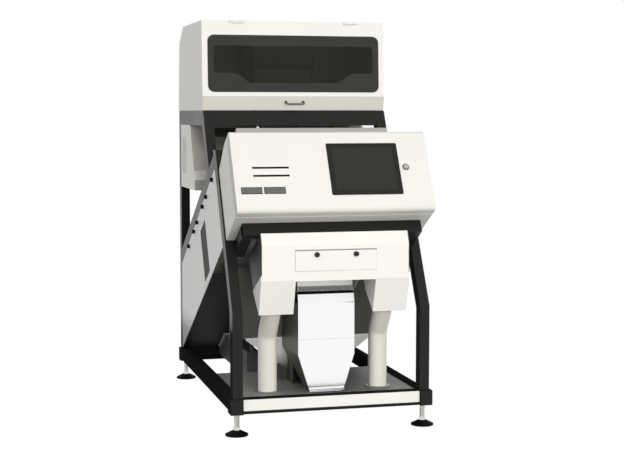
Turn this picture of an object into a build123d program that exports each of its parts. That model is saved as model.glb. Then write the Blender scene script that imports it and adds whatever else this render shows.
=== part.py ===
# Single-chute colour sorter for nuts, grain and dried fruit.
# Lengths are millimetres and angles are degrees. X runs right, Y runs back from the
# front of the base and Z runs up from the floor. At the end every piece is shifted
# so that the origin lies on the floor under the middle of the machine.
# Places on the sloping half of the machine are given as "back" (square to the slope,
# from the front of the leaning posts) and "rise" (up along the slope from their bend).
import os
from math import atan2, cos, degrees, radians, sin, tan

from build123d import *

os.makedirs("parts", exist_ok=True)

# frame of welded tube
FRAME_WIDTH = 796  # over the posts
FRAME_DEPTH = 1280
TUBE_WIDTH = 40
TUBE_DEPTH = 50
TUBE_WALL = 3
BASE_CLEARANCE = 85  # floor to the underside of the base
BASE_RAIL_HEIGHT = 60
REAR_RAIL_HEIGHT = 25
CORNER_BLOCK_WIDTH = 50
POST_SETBACK = 15  # front of the base to the front of the posts
POST_HEIGHT = 337  # upright part of the front posts
SLANT = 29  # lean of the posts, the product slide and the control box
SLOPED_POST_HEIGHT = 613  # bend of the posts straight up to their cut top
UPPER_POST_BACK = 170
BEAM_RISE = 646
BEAM_DEPTH = 60
UPPER_FRAME_HEIGHT = 772  # bend of the posts straight up to the top of the frame
TOP_RAIL_HEIGHT = 64
TOP_PLATE_THICK = 4

# levelling feet
FOOT_DIAMETER = 90
FOOT_HEIGHT = 20
FOOT_RIM = 6
FOOT_NECK = 34
STEM_DIAMETER = 20
STEM_PROUD = 20  # above the base, inside the posts
STEM_HEX = 24
STEM_HEX_HEIGHT = 12

# base plate and fascia
PLATE_DROP = 5  # top of the base rails down to the plate
PLATE_THICK = 3
PLATE_DEPTH = 540
FASCIA_THICK = 3
FASCIA_HEIGHT = 48
FASCIA_RAISE = 9

# common sheet, fits and small gaps
SHEET = 2.5
RUNNING_FIT = 0.05  # radial, between parts that turn in each other
HOLE_FIT = 0.4  # radial, around bolts and tubes
SEAM = 1  # gap between neighbouring covers
PAST = 10  # how far a cutting shape runs past the face it opens

# side panels over the rear bay
PANEL_THICK = 3
PANEL_SET = 8  # behind the leaning posts
PANEL_RISE = 298
VENT_START = 310
VENT_LENGTH = 136
VENT_RAISE = 32
VENT_HEIGHT = 235
VENT_LAP = 8
VENT_THICK = 3
PANEL_BOLT_START = 58
PANEL_BOLT_GAPS = (160, 97)  # the bolts sit in pairs
PANEL_BOLTS = 6
PANEL_BOLT_EDGE = 21
BOLT_DIAMETER = 8
BOLT_HEAD = 18
BOLT_HEAD_HEIGHT = 6
BOLT_LENGTH = 12

# control box, its lift-up panel and the cradle under it
BOX_WIDTH = 785
BOX_DEPTH = 260
BOX_GAP = 4  # in front of the leaning posts
BOX_RISE = 301
BOX_HEIGHT = 345
BOX_TOP_FLAT = 106  # front of the box to the edge where its top slopes off
BOX_SHOULDER_DROP = 40
PANEL_TRAY_DEPTH = 45
PANEL_GAP = 5  # lets the tray swing clear of the box
PANEL_LOW_RADIUS = 18
PANEL_TOP_RADIUS = 16
CRADLE_SET = 100  # front of the box to the front of the cradle
SCREEN_WIDTH = 286
SCREEN_HEIGHT = 222
SCREEN_BUTTON_GAP = 26  # edge of the screen to the middle of the button
SCREEN_RAISE = 176  # underside of the box to the middle of the screen
SCREEN_PROUD = 3
SCREEN_DEPTH = 6
SCREEN_CORNER = 6
SCREEN_REAR_MARGIN = 9
BUTTON_MARGIN = 96.5  # right end of the panel to the button
BUTTON_RAISE = 182
BUTTON_BEZEL = 28
BUTTON_BEZEL_PROUD = 3
BUTTON_CAP = 18
BUTTON_CAP_PROUD = 6
BUTTON_TRAVEL = 3
BUTTON_BARREL = 22
BUTTON_DEPTH = 30

# hinges of the hood cover and the control panel
KNUCKLE_DIAMETER = 10
PIN_DIAMETER = 5
KNUCKLE_LENGTH = 20
HOOD_HINGE_X = 250
PANEL_HINGE_X = 260

# hood over the vibrating feeder
HOOD_SIDE_LAP = 1  # past the frame on each side
HOOD_HEIGHT = 379
HOOD_SETBACK = 11  # top front edge of the frame to the foot of the hood
HOOD_FOLD_HEIGHT = 61
HOOD_FOLD_FORWARD = 8
HOOD_FRONT_RUN = 17  # from the fold back to the top
HOOD_OVERHANG = 4  # behind the frame
HOOD_BACK_RUN = 31
HOOD_CHAMFER_RUN = 106
HOOD_CHAMFER_DROP = 72
HOOD_SHEET = 3
COVER_THICK = 3
COVER_GAP = 2.5
WINDOW_MARGIN = 24  # beside the window
WINDOW_RAISE = 17  # measured up the cover from its fold
WINDOW_HEIGHT = 241
WINDOW_CORNER = 28
WINDOW_THICK = 4
OPENING_MARGIN = 26  # of the window around the opening behind it
OPENING_RAISE = 98
OPENING_HEIGHT = 115
OPENING_DIP = 42
OPENING_DIP_WIDTHS = (512, 384)  # at its top and its bottom
OPENING_CORNER = 14
HANDLE_LENGTH = 84
HANDLE_RAISE = 34
HANDLE_BAR = 10
HANDLE_REACH = 30
INLET_SIZE = 300
INLET_SETBACK = 143  # top front edge of the hood to the feed inlet
INLET_BOLT_MARGIN = 25
INLET_BOLT = 9

# vibrating feeder and feed hopper
DECK_THICK = 6
DECK_MARGIN = 50  # in front of the feeder's base
MOUNT_HEIGHT = 20
MOUNT_DIAMETER = 36
FEEDER_WIDTH = 190
FEEDER_LENGTH = 250
FEEDER_SHIFT = 56  # behind the middle of the tray
FEEDER_HEIGHT = 46
TRAY_GAP = 38  # between the base and the tray
TRAY_WIDTH = 330
TRAY_SET = 20  # behind the foot of the hood
TRAY_REAR_GAP = 134  # to the back of the hood
TRAY_WALL = 60
TRAY_BLOCK_GAP = 10
COIL_WIDTH = 70
COIL_LENGTH = 70
COIL_GAP = 3
SPRING_THICK = 4
SPRING_WIDTH = 120
SPRING_RAISE = 10
HOPPER_OUTLET_LENGTH = 200
HOPPER_OUTLET_WIDTH = 260
HOPPER_GAP = 45  # above the floor of the tray
HOPPER_THROAT_HEIGHT = 90
GATE_THICK = 3
GATE_HEIGHT = 50
GATE_CLEAR = 12
GATE_GUIDE = 6

# product slide and its cover
SLIDE_WIDTH = 330
SLIDE_END = 37  # lower end above the line of sight
SLIDE_TOP_DROP = 60  # upper end below the floor of the tray
SLIDE_THICK = 6
SLIDE_WALL = 28
SLIDE_CHANNELS = 16
SLIDE_CHANNEL_DEPTH = 2
SLIDE_RIB = 3
SLIDE_TIE_WIDTH = 40
SLIDE_TIE_THICK = 8
SLIDE_TIE_RAISES = (24, 174)  # above the diagonal beams
SLIDE_PROP_WIDTH = 120
SLIDE_PROP_DROP = 86  # its foot below the top of the optical box
SLIDE_PROP_HEIGHT = 40
CHUTE_COVER_WIDTH = 632
CHUTE_COVER_FORWARD = 60
CHUTE_COVER_HEIGHT = 121
CHUTE_COVER_DEPTH = 220
COVER_EAR_BACK = 20
COVER_EAR_HEIGHT = 45
COVER_BOLT_X = 222
COVER_BOLT_SET = 20
COVER_BOLT_HEAD = 14

# optics on both sides of the falling stream
AXIS_RAISE = 154  # underside of the control box to the line of sight
SIGHT_WIDTH = 350
SIGHT_HEIGHT = 70
GLASS_THICK = 4
GLASS_LAP = 6
OPTIC_GAP = 42  # behind the upper posts
OPTIC_DEPTH = 438
OPTIC_HEIGHT = 250
LIGHT_BAR = 14
LIGHT_BAR_WIDTH = 360
CAMERA_WIDTH = 80
CAMERA_DEPTH = 90
CAMERA_HEIGHT = 70
CAMERA_FOOT = 40
LENS_DIAMETER = 44
LENS_LENGTH = 45
FRONT_CAMERA_SET = 104  # in front of the sight glass to the lens
REAR_CAMERA_SET = 248

# air ejector
EJECTOR_WIDTH = 340
EJECTOR_SET = 18  # behind the upper posts' rear faces
EJECTOR_DEPTH = 54
EJECTOR_DROP = 8  # below the optical box
EJECTOR_HEIGHT = 58
HANGER_THICK = 3
NOZZLE_REACH = 12
NOZZLE_BORE = 4
VALVES = 16
VALVE_WIDTH = 18
VALVE_DEPTH = 40
VALVE_HEIGHT = 38
AIR_TANK_X = -194
AIR_TANK_WIDTH = 56
AIR_TANK_HEIGHT = 116
AIR_TANK_WALL = 4
AIR_TANK_END = 14
AIR_PORT = 16
PIPE_DIAMETER = 16
PIPE_BEND = 40
PIPE_SIDE = 62  # beside the end of the ejector
PIPE_SET = 27  # on the tank, behind its front end
PIPE_RISE_SET = 35  # behind the chute for the good product
PIPE_KNEES = (104, 224)  # above the tank
BAY_FLOOR_GAP = 48  # behind the ejector
BAY_FLOOR_CLEAR = 7  # around the tank

# collector for the rejects, its ducts and the outlet tubes
COLLECTOR_WIDTH = 592
COLLECTOR_SET = 11  # its top edge in front of the cradle
COLLECTOR_BAND = 46
COLLECTOR_BAND_RUN = 20
COLLECTOR_HEIGHT = 114
MOUTH_BACK = 68
MOUTH_LIP = 26
MOUTH_LIP_RUN = 9
LEG_WIDTH = 136
LEG_SHOULDER = 21
LEG_DROP = 157
LEG_RUN = 43
DUCT_RUN = 113
DUCT_RISE = 81
ARCH_DROP = 25
RIDGE_RISE = 74
FLANGE_REACH = 46
ACCESS_WIDTH = 324
ACCESS_RAISE = 14
ACCESS_HEIGHT = 77
ACCESS_HOLE_MARGIN = 22
KNOB_X = 78
KNOB_DROP = 14
KNOB_DIAMETER = 19
KNOB_LENGTH = 12
KNOB_SHANK = 6
KNOB_SHANK_LENGTH = 12
OUTLET_DIAMETER = 75
OUTLET_WALL = 3
OUTLET_BACK = 165
OUTLET_BEND_RADIUS = 70
OUTLET_SPIGOT = 40  # below the base plate
SPIGOT_DIAMETER = 74  # turned down for a 75 mm hose
SPIGOT_SHOULDER = 3  # full tube left under the plate
OUTLET_REACH = 5
FLANGE_DIAMETER = 104
FLANGE_THICK = 5

# chute for the good product
CHUTE_WIDTH = 231
CHUTE_FRONT = 110
CHUTE_DEPTH = 280
CHUTE_HEIGHT = 355
CHUTE_KNEE = 143  # base plate to where the sloping floor starts
CHUTE_FOOT_DEPTH = 60
CHUTE_LEG_SET = 188  # behind the front of the chute
CHUTE_LEG_DEPTH = 90
CHUTE_LEG_SPREAD = 21  # beside the outlet
CHUTE_BROW = 35
CHUTE_BROW_RUN = 8
CHUTE_TAPER_HEIGHT = 148
CHUTE_OUTLET_WIDTH = 140
CHUTE_CURVE = 12  # bend of the front sheet into its lip
CHUTE_LIP = 17
SEAL_HEIGHT = 10
SEAL_DEPTH = 16
STRIP_HEIGHT = 40
FUNNEL_WIDTH = 350
FUNNEL_HEIGHT = 105
FUNNEL_SET = 90
WALL_RAISE = 179  # above the base plate
WALL_CLEAR = 38  # below the ejector
WALL_SIDE_GAP = 21  # beside the frame
WALL_SKIRT_WIDTH = 270

# cabinet, its modules and its rear panel
CABINET_DEPTH = 372
CABINET_HEIGHT = 285
CABINET_KNEE = 45
CABINET_FRONT_RUN = 114
CABINET_VENT_MARGIN = 30
CABINET_VENT_LENGTH = 116
CABINET_VENT_RAISE = 63
CABINET_VENT_HEIGHT = 166
CABINET_VENT_SLOTS = 9
CABINET_VENT_SLOT = 6
COMPUTER_SIZE = (300, 160, 90)
COMPUTER_X = -130
SUPPLY_SIZE = (220, 120, 110)
SUPPLY_X = 190
MODULE_GAP = 30

HALF_WIDTH = FRAME_WIDTH / 2
HALF_INSIDE = HALF_WIDTH - TUBE_WIDTH
BASE_TOP = BASE_CLEARANCE + BASE_RAIL_HEIGHT
BEND_HEIGHT = BASE_TOP + POST_HEIGHT
FRAME_TOP = BEND_HEIGHT + UPPER_FRAME_HEIGHT
PLATE_TOP = BASE_TOP - PLATE_DROP
POST_REAR = POST_SETBACK + TUBE_DEPTH
REAR_POST_FRONT = FRAME_DEPTH - TUBE_DEPTH
BEAM_TOP_RISE = BEAM_RISE + BEAM_DEPTH
LEAN_SIN = sin(radians(SLANT))
LEAN_COS = cos(radians(SLANT))
ON_SLOPE = Pos(0, POST_SETBACK, BEND_HEIGHT) * Rot(-SLANT, 0, 0)

pieces = {}


def across(width):
    # limits of a width that is centred on the machine
    return -width / 2, width / 2


def after(start, length):
    return start, start + length


def span(x, y, z):
    # plain block between pairs of limits
    middle = [(low + high) / 2 for low, high in (x, y, z)]
    return Pos(*middle) * Box(*[high - low for low, high in (x, y, z)])


def slope_point(back, rise):
    # side-view point (Y, Z) of a place on the slope
    y = POST_SETBACK + back * LEAN_COS + rise * LEAN_SIN
    return y, BEND_HEIGHT - back * LEAN_SIN + rise * LEAN_COS


def rise_at_height(back, height):
    return (height - BEND_HEIGHT + back * LEAN_SIN) / LEAN_COS


def slope_at_height(back, height):
    return slope_point(back, rise_at_height(back, height))


def slope_at_depth(rise, depth):
    return slope_point((depth - POST_SETBACK - rise * LEAN_SIN) / LEAN_COS, rise)


def side_prism(outline, x):
    # outline in side view, drawn across the machine
    face = make_face(Polyline(*outline, close=True))
    return extrude(Plane.YZ.offset(x[0]) * face, x[1] - x[0], dir=(1, 0, 0))


def front_prism(outline, y):
    # outline in front view (X, Z), drawn backwards
    face = make_face(Polyline(*outline, close=True))
    return extrude(Pos(0, y[0], 0) * Rot(90, 0, 0) * face, y[1] - y[0], dir=(0, 1, 0))


def inset(outline, depths):
    # moves each edge of an outline inwards by its own depth
    ends = outline[1:] + outline[:1]
    turn = sum(a[0] * b[1] - b[0] * a[1] for a, b in zip(outline, ends))
    side = 1 if turn > 0 else -1
    lines = []
    for a, b, depth in zip(outline, ends, depths):
        run = Vector(b[0] - a[0], b[1] - a[1]).normalized()
        lines.append((a[0] - run.Y * side * depth, a[1] + run.X * side * depth, run))
    corners = []
    for (px, py, d), (qx, qy, e) in zip(lines[-1:] + lines[:-1], lines):
        step = ((qx - px) * e.Y - (qy - py) * e.X) / (d.X * e.Y - d.Y * e.X)
        corners.append((px + d.X * step, py + d.Y * step))
    return corners


def tube(outline, x, start=-PAST, end=-PAST):
    # four-cornered tube in side view; the first and third edges are its ends
    bore = inset(outline, [start, TUBE_WALL, end, TUBE_WALL])
    return side_prism(outline, x) - side_prism(bore, (x[0] + TUBE_WALL, x[1] - TUBE_WALL))


def cross_tube(y, z):
    # rectangular tube lying across the machine between the side tubes
    bore = span(across(2 * HALF_INSIDE + PAST), (y[0] + TUBE_WALL, y[1] - TUBE_WALL),
                (z[0] + TUBE_WALL, z[1] - TUBE_WALL))
    return span(across(2 * HALF_INSIDE), y, z) - bore


def lean(run):
    # turn about X that brings the upright onto a side-view direction
    return -degrees(atan2(run.X, run.Y))


def group(*shapes):
    return Compound([solid for shape in shapes for solid in shape.solids()])


def mirrored(shape):
    return mirror(shape, about=Plane.YZ)


def both_sides(shape):
    return group(shape, mirrored(shape))


def rod(diameter, start, end):
    # round bar between two points
    axis = Vector(*end) - Vector(*start)
    return extrude(Plane(origin=start, z_dir=axis) * Circle(diameter / 2), axis.length)


def rounded(x, z, radius):
    # flat rounded rectangle in front view
    face = RectangleRounded(x[1] - x[0], z[1] - z[0], radius)
    return Pos(sum(x) / 2, 0, sum(z) / 2) * Rot(90, 0, 0) * face


# base
tube_x = (HALF_INSIDE, HALF_WIDTH)
block_x = after(HALF_INSIDE, CORNER_BLOCK_WIDTH)
block_rows = ((0, POST_REAR), (REAR_POST_FRONT, FRAME_DEPTH))
foot_x = HALF_INSIDE + TUBE_WIDTH / 2
foot_rows = (POST_SETBACK + TUBE_DEPTH / 2, FRAME_DEPTH - TUBE_DEPTH / 2)
base_z = (BASE_CLEARANCE, BASE_TOP)
blocks = []
for block_y, foot_y in zip(block_rows, foot_rows):
    bore = rod(STEM_DIAMETER + 2 * RUNNING_FIT, (foot_x, foot_y, 0), (foot_x, foot_y, BASE_TOP + PAST))
    blocks.append(both_sides(span(block_x, block_y, base_z) - bore))
pieces["corner_blocks"] = group(*blocks)

rail_y = (block_rows[0][1], block_rows[1][0])
side_rail = tube([(rail_y[0], BASE_TOP), (rail_y[0], BASE_CLEARANCE), (rail_y[1], BASE_CLEARANCE),
                  (rail_y[1], BASE_TOP)], tube_x)
plate_low = PLATE_TOP - PLATE_THICK
front_rail_y = after(POST_SETBACK, TUBE_WIDTH)
rear_rail_y = (FRAME_DEPTH - TUBE_WIDTH, FRAME_DEPTH)
rear_rail_z = after(BASE_CLEARANCE, REAR_RAIL_HEIGHT)
plate_y = after(front_rail_y[1], PLATE_DEPTH)
plate_rail = cross_tube((plate_y[1] - TUBE_WIDTH, plate_y[1]), (plate_low - TUBE_WIDTH, plate_low))
pieces["base_rails"] = group(
    both_sides(side_rail), cross_tube(front_rail_y, base_z), plate_rail,
    cross_tube(rear_rail_y, rear_rail_z))
fascia_y = (POST_SETBACK - FASCIA_THICK, POST_SETBACK)
pieces["front_fascia"] = span(across(2 * HALF_INSIDE - 2 * SEAM), fascia_y,
                              after(BASE_CLEARANCE + FASCIA_RAISE, FASCIA_HEIGHT))

outlet_x = COLLECTOR_WIDTH / 2 - LEG_WIDTH / 2
chute_y = after(CHUTE_FRONT, CHUTE_DEPTH)
chute_foot = CHUTE_FRONT + CHUTE_FOOT_DEPTH
plate = span(across(2 * HALF_INSIDE), plate_y, (plate_low, PLATE_TOP))
for x in (-outlet_x, outlet_x):
    plate -= rod(OUTLET_DIAMETER + 2 * HOLE_FIT, (x, OUTLET_BACK, 0), (x, OUTLET_BACK, PLATE_TOP + PAST))
plate -= span(across(CHUTE_OUTLET_WIDTH - 2 * SHEET), (chute_y[0] + SHEET, chute_foot - SHEET),
              (0, PLATE_TOP + PAST))
pieces["base_plate"] = plate

# levelling feet
pad_outline = [(0, 0), (FOOT_DIAMETER / 2, 0), (FOOT_DIAMETER / 2, FOOT_RIM), (FOOT_NECK / 2, FOOT_HEIGHT),
               (0, FOOT_HEIGHT)]
pad = revolve(Plane.XZ * make_face(Polyline(*pad_outline, close=True)), Axis.Z)
foot_places = {}
for row, foot_y in zip(("front", "rear"), foot_rows):
    for side, x in (("left", -foot_x), ("right", foot_x)):
        foot_places[row + "_" + side] = (x, foot_y)
pieces["foot_pads"] = group(*[Pos(x, y, 0) * pad for x, y in foot_places.values()])
stem_hex = extrude(RegularPolygon(STEM_HEX / 2, 6, major_radius=False), STEM_HEX_HEIGHT)
stem = Pos(0, 0, FOOT_HEIGHT) * stem_hex
stem += rod(STEM_DIAMETER, (0, 0, FOOT_HEIGHT), (0, 0, BASE_TOP + STEM_PROUD))
for place, (x, y) in foot_places.items():
    pieces["foot_stem_" + place] = Pos(x, y, 0) * stem

# posts, beams and top rails
mitre_height = BEND_HEIGHT - TUBE_DEPTH * tan(radians(SLANT / 2))
post_top = BEND_HEIGHT + SLOPED_POST_HEIGHT
lower_post = tube([(POST_SETBACK, BASE_TOP), (POST_REAR, BASE_TOP), (POST_REAR, mitre_height),
                   (POST_SETBACK, BEND_HEIGHT)], tube_x)
leaning_post = tube([(POST_SETBACK, BEND_HEIGHT), (POST_REAR, mitre_height),
                     slope_at_height(TUBE_DEPTH, post_top), slope_at_height(0, post_top)],
                    tube_x, end=TUBE_WALL)
pieces["front_posts"] = group(both_sides(lower_post), both_sides(leaning_post))
upper_rear_back = UPPER_POST_BACK + TUBE_DEPTH
pieces["upper_posts"] = both_sides(tube(
    [slope_point(UPPER_POST_BACK, BEAM_TOP_RISE), slope_point(upper_rear_back, BEAM_TOP_RISE),
     slope_at_height(upper_rear_back, FRAME_TOP), slope_at_height(UPPER_POST_BACK, FRAME_TOP)],
    tube_x, end=TUBE_WALL))
pieces["rear_posts"] = both_sides(tube(
    [(REAR_POST_FRONT, BASE_TOP), (FRAME_DEPTH, BASE_TOP),
     (FRAME_DEPTH, FRAME_TOP), (REAR_POST_FRONT, FRAME_TOP)], tube_x, end=TUBE_WALL))
pieces["diagonal_beams"] = both_sides(tube(
    [slope_point(TUBE_DEPTH, BEAM_TOP_RISE), slope_point(TUBE_DEPTH, BEAM_RISE),
     slope_at_depth(BEAM_RISE, REAR_POST_FRONT), slope_at_depth(BEAM_TOP_RISE, REAR_POST_FRONT)], tube_x))
top_rail_low = FRAME_TOP - TOP_RAIL_HEIGHT
top_side_rail = tube(
    [slope_at_height(upper_rear_back, FRAME_TOP), slope_at_height(upper_rear_back, top_rail_low),
     (REAR_POST_FRONT, top_rail_low), (REAR_POST_FRONT, FRAME_TOP)], tube_x)
plate_back = UPPER_POST_BACK + TOP_PLATE_THICK
top_front_plate = side_prism(
    [slope_at_height(UPPER_POST_BACK, top_rail_low), slope_at_height(plate_back, top_rail_low),
     slope_at_height(plate_back, FRAME_TOP), slope_at_height(UPPER_POST_BACK, FRAME_TOP)],
    across(2 * HALF_INSIDE))
top_rear_rail = cross_tube((REAR_POST_FRONT, FRAME_DEPTH), (top_rail_low, FRAME_TOP))
pieces["top_rails"] = group(both_sides(top_side_rail), top_rear_rail, top_front_plate)

# side panels of the rear bay and their vents
panel_x = (HALF_WIDTH - PANEL_THICK, HALF_WIDTH)
panel_back = TUBE_DEPTH + PANEL_SET
panel = side_prism([slope_point(panel_back, PANEL_RISE), slope_point(panel_back, BEAM_RISE),
                    slope_at_depth(BEAM_RISE, REAR_POST_FRONT),
                    slope_at_depth(PANEL_RISE, REAR_POST_FRONT)], panel_x)
vent_y = after(panel_back + VENT_START, VENT_LENGTH)
vent_z = after(PANEL_RISE + VENT_RAISE, VENT_HEIGHT)
panel -= ON_SLOPE * span((panel_x[0] - PAST, panel_x[1] + PAST), vent_y, vent_z)
bolt_rise = BEAM_RISE - PANEL_BOLT_EDGE
bolt_backs = [panel_back + PANEL_BOLT_START]
for index in range(PANEL_BOLTS - 1):
    bolt_backs.append(bolt_backs[-1] + PANEL_BOLT_GAPS[index % len(PANEL_BOLT_GAPS)])
cover_bolts = []
for back in bolt_backs:
    y, z = slope_point(back, bolt_rise)
    panel -= rod(BOLT_DIAMETER + 2 * HOLE_FIT, (panel_x[0] - PAST, y, z), (panel_x[1] + PAST, y, z))
    bolt = rod(BOLT_DIAMETER, (HALF_WIDTH - BOLT_LENGTH, y, z), (HALF_WIDTH, y, z))
    bolt += rod(BOLT_HEAD, (HALF_WIDTH, y, z), (HALF_WIDTH + BOLT_HEAD_HEIGHT, y, z))
    cover_bolts.append(both_sides(bolt))
pieces["side_panels"] = both_sides(panel)
vent = ON_SLOPE * span((panel_x[0] - VENT_THICK, panel_x[0]), (vent_y[0] - VENT_LAP, vent_y[1] + VENT_LAP),
                       (vent_z[0] - VENT_LAP, vent_z[1] + VENT_LAP))
pieces["side_vents"] = both_sides(vent)

# cradle that carries the control box
box_y = (-BOX_GAP - BOX_DEPTH, -BOX_GAP)
box_z = after(BOX_RISE, BOX_HEIGHT)
cradle_z = (BOX_RISE - TUBE_DEPTH, BOX_RISE)
cradle_y = after(box_y[0] + CRADLE_SET, TUBE_WIDTH)
arm_x = (HALF_INSIDE - TUBE_WIDTH, HALF_INSIDE)
cradle_arm = tube([slope_point(cradle_y[1], cradle_z[1]), slope_point(cradle_y[1], cradle_z[0]),
                   slope_point(TUBE_DEPTH, cradle_z[0]), slope_point(TUBE_DEPTH, cradle_z[1])], arm_x)
pieces["control_box_cradle"] = group(both_sides(cradle_arm), ON_SLOPE * cross_tube(cradle_y, cradle_z))

# hinge halves shared by the hood cover and the control panel
knuckle_step = KNUCKLE_LENGTH + SEAM
hinge_room = KNUCKLE_DIAMETER / 2 + SEAM
hinge_reach = knuckle_step + KNUCKLE_LENGTH / 2


def knuckles(places, centre, steps):
    # round knuckles of each hinge, with the limits of each one across the machine
    result = []
    for place in places:
        for step in steps:
            x = across(KNUCKLE_LENGTH)
            limits = (x[0] + place + step, x[1] + place + step)
            result.append((limits, rod(KNUCKLE_DIAMETER, (limits[0], *centre), (limits[1], *centre))))
    return result


def moving_knuckles(places, centre):
    return knuckles(places, centre, (0,))


def fixed_knuckles(places, centre):
    return knuckles(places, centre, (-knuckle_step, knuckle_step))


def pins(places, centre, diameter, past):
    reach = hinge_reach + past
    return [rod(diameter, (x - reach, *centre), (x + reach, *centre)) for x in places]


def pin_bores(places, centre):
    return pins(places, centre, PIN_DIAMETER + 2 * RUNNING_FIT, PAST)


# control box shell and its lift-up panel
tray_y = after(box_y[0], PANEL_TRAY_DEPTH)
shell_front = tray_y[1] + PANEL_GAP
shell_outline = [(shell_front, box_z[0]), (box_y[1], box_z[0]), (box_y[1], box_z[1] - BOX_SHOULDER_DROP),
                 (box_y[0] + BOX_TOP_FLAT, box_z[1]), (shell_front, box_z[1])]
shell = side_prism(shell_outline, across(BOX_WIDTH))
shell_inside = inset(shell_outline, [SHEET, SHEET, SHEET, SHEET, -PAST])
shell -= side_prism(shell_inside, across(BOX_WIDTH - 2 * SHEET))
axis_rise = BOX_RISE + AXIS_RAISE
sight_x = across(SIGHT_WIDTH)
sight_z = after(axis_rise - SIGHT_HEIGHT / 2, SIGHT_HEIGHT)
shell -= span(sight_x, (box_y[1] - PAST, box_y[1] + PAST), sight_z)


def bent_tray(grow):
    # outside of the panel, or its inside when it shrinks by the sheet
    block = span(across(BOX_WIDTH - 2 * grow), (tray_y[0] + grow, tray_y[1] + (PAST if grow else 0)),
                 (box_z[0] + grow, box_z[1] - grow))
    for pick, radius in ((0, PANEL_LOW_RADIUS), (-1, PANEL_TOP_RADIUS)):
        edge = block.edges().filter_by(Axis.X).group_by(Axis.Y)[0].sort_by(Axis.Z)[pick]
        block = fillet(edge, radius - grow)
    return block


panel_tray = bent_tray(0) - bent_tray(SHEET)
button_x = BOX_WIDTH / 2 - BUTTON_MARGIN
screen_x = after(button_x - SCREEN_BUTTON_GAP - SCREEN_WIDTH, SCREEN_WIDTH)
screen_z = after(BOX_RISE + SCREEN_RAISE - SCREEN_HEIGHT / 2, SCREEN_HEIGHT)


def screen_back(margin, y):
    # block behind the face of the screen, smaller than it by a margin
    return span((screen_x[0] + margin, screen_x[1] - margin), y,
                (screen_z[0] + margin, screen_z[1] - margin))


panel_tray -= screen_back(SCREEN_REAR_MARGIN, (tray_y[0] - PAST, tray_y[0] + PAST))
button_rise = BOX_RISE + BUTTON_RAISE


def button_rod(diameter, front, rear):
    # round piece on the start button's axis, between two depths from the panel's face
    return rod(diameter, (button_x, tray_y[0] + front, button_rise),
               (button_x, tray_y[0] + rear, button_rise))


panel_tray -= button_rod(BUTTON_BARREL, -PAST, PAST)
panel_hinge = ((tray_y[1] + shell_front) / 2, box_z[1] - SHEET)
panel_places = (-PANEL_HINGE_X, PANEL_HINGE_X)
for x in panel_places:
    slot = span((x - hinge_reach - SEAM, x + hinge_reach + SEAM),
                (panel_hinge[0] - hinge_room, panel_hinge[0] + hinge_room),
                (panel_hinge[1] - hinge_room, panel_hinge[1] + hinge_room))
    shell -= slot
    panel_tray -= slot
web_z = (box_z[1] - SHEET, box_z[1])
for x, knuckle in moving_knuckles(panel_places, panel_hinge):
    panel_tray += knuckle + span(x, (panel_hinge[0] - hinge_room - SEAM, panel_hinge[0]), web_z)
for x, knuckle in fixed_knuckles(panel_places, panel_hinge):
    shell += knuckle + span(x, (panel_hinge[0], panel_hinge[0] + hinge_room + SEAM), web_z)
for bore in pin_bores(panel_places, panel_hinge):
    shell -= bore
    panel_tray -= bore
pieces["control_box_shell"] = ON_SLOPE * shell
pieces["control_panel"] = ON_SLOPE * panel_tray
panel_pins = ON_SLOPE * group(*pins(panel_places, panel_hinge, PIN_DIAMETER, 0))

screen_face = Pos(0, tray_y[0] - SCREEN_PROUD, 0) * rounded(screen_x, screen_z, SCREEN_CORNER)
screen = extrude(screen_face, SCREEN_PROUD, dir=(0, 1, 0))
screen += screen_back(SCREEN_REAR_MARGIN + SEAM, (tray_y[0] - SCREEN_PROUD, tray_y[0] + SCREEN_DEPTH))
pieces["touch_screen"] = ON_SLOPE * screen
bezel = button_rod(BUTTON_BEZEL, -BUTTON_BEZEL_PROUD, 0)
bezel += button_rod(BUTTON_BARREL - 2 * HOLE_FIT, -BUTTON_BEZEL_PROUD, BUTTON_DEPTH)
button_bottom = BUTTON_DEPTH - SHEET
bezel -= button_rod(BUTTON_CAP + 2 * HOLE_FIT, -PAST, button_bottom)
pieces["button_bezel"] = ON_SLOPE * bezel
cap_bottom = button_bottom - BUTTON_TRAVEL - SEAM
pieces["start_button"] = ON_SLOPE * button_rod(BUTTON_CAP, -BUTTON_CAP_PROUD, cap_bottom)

# hood over the feeder
hood_top = FRAME_TOP + HOOD_HEIGHT
hood_foot = slope_at_height(UPPER_POST_BACK, FRAME_TOP)[0] + HOOD_SETBACK
hood_fold = (hood_foot - HOOD_FOLD_FORWARD, FRAME_TOP + HOOD_FOLD_HEIGHT)
hood_brow = hood_fold[0] + HOOD_FRONT_RUN
hood_back = FRAME_DEPTH + HOOD_OVERHANG
chamfer_back = hood_back - HOOD_BACK_RUN
hood_width = FRAME_WIDTH + 2 * HOOD_SIDE_LAP
hood_points = [(hood_foot, FRAME_TOP), hood_fold, (hood_brow, hood_top),
               (chamfer_back - HOOD_CHAMFER_RUN, hood_top), (chamfer_back, hood_top - HOOD_CHAMFER_DROP),
               (hood_back, FRAME_TOP)]
cover_set = COVER_THICK + COVER_GAP
hood_outline = inset(hood_points, [cover_set, cover_set, 0, 0, 0, 0])
hood = side_prism(hood_outline, across(hood_width))
hood_inside = inset(hood_outline, [-PAST, -PAST, HOOD_SHEET, HOOD_SHEET, HOOD_SHEET, -PAST])
hood -= side_prism(hood_inside, across(hood_width - 2 * HOOD_SHEET))
inlet_y = after(hood_brow + INLET_SETBACK, INLET_SIZE)
hood -= span(across(INLET_SIZE), inlet_y, (hood_top - PAST, hood_top + PAST))
for x in across(INLET_SIZE + 2 * INLET_BOLT_MARGIN):
    for y in (inlet_y[0] - INLET_BOLT_MARGIN, inlet_y[1] + INLET_BOLT_MARGIN):
        hood -= rod(INLET_BOLT, (x, y, hood_top - PAST), (x, y, hood_top + PAST))

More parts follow.
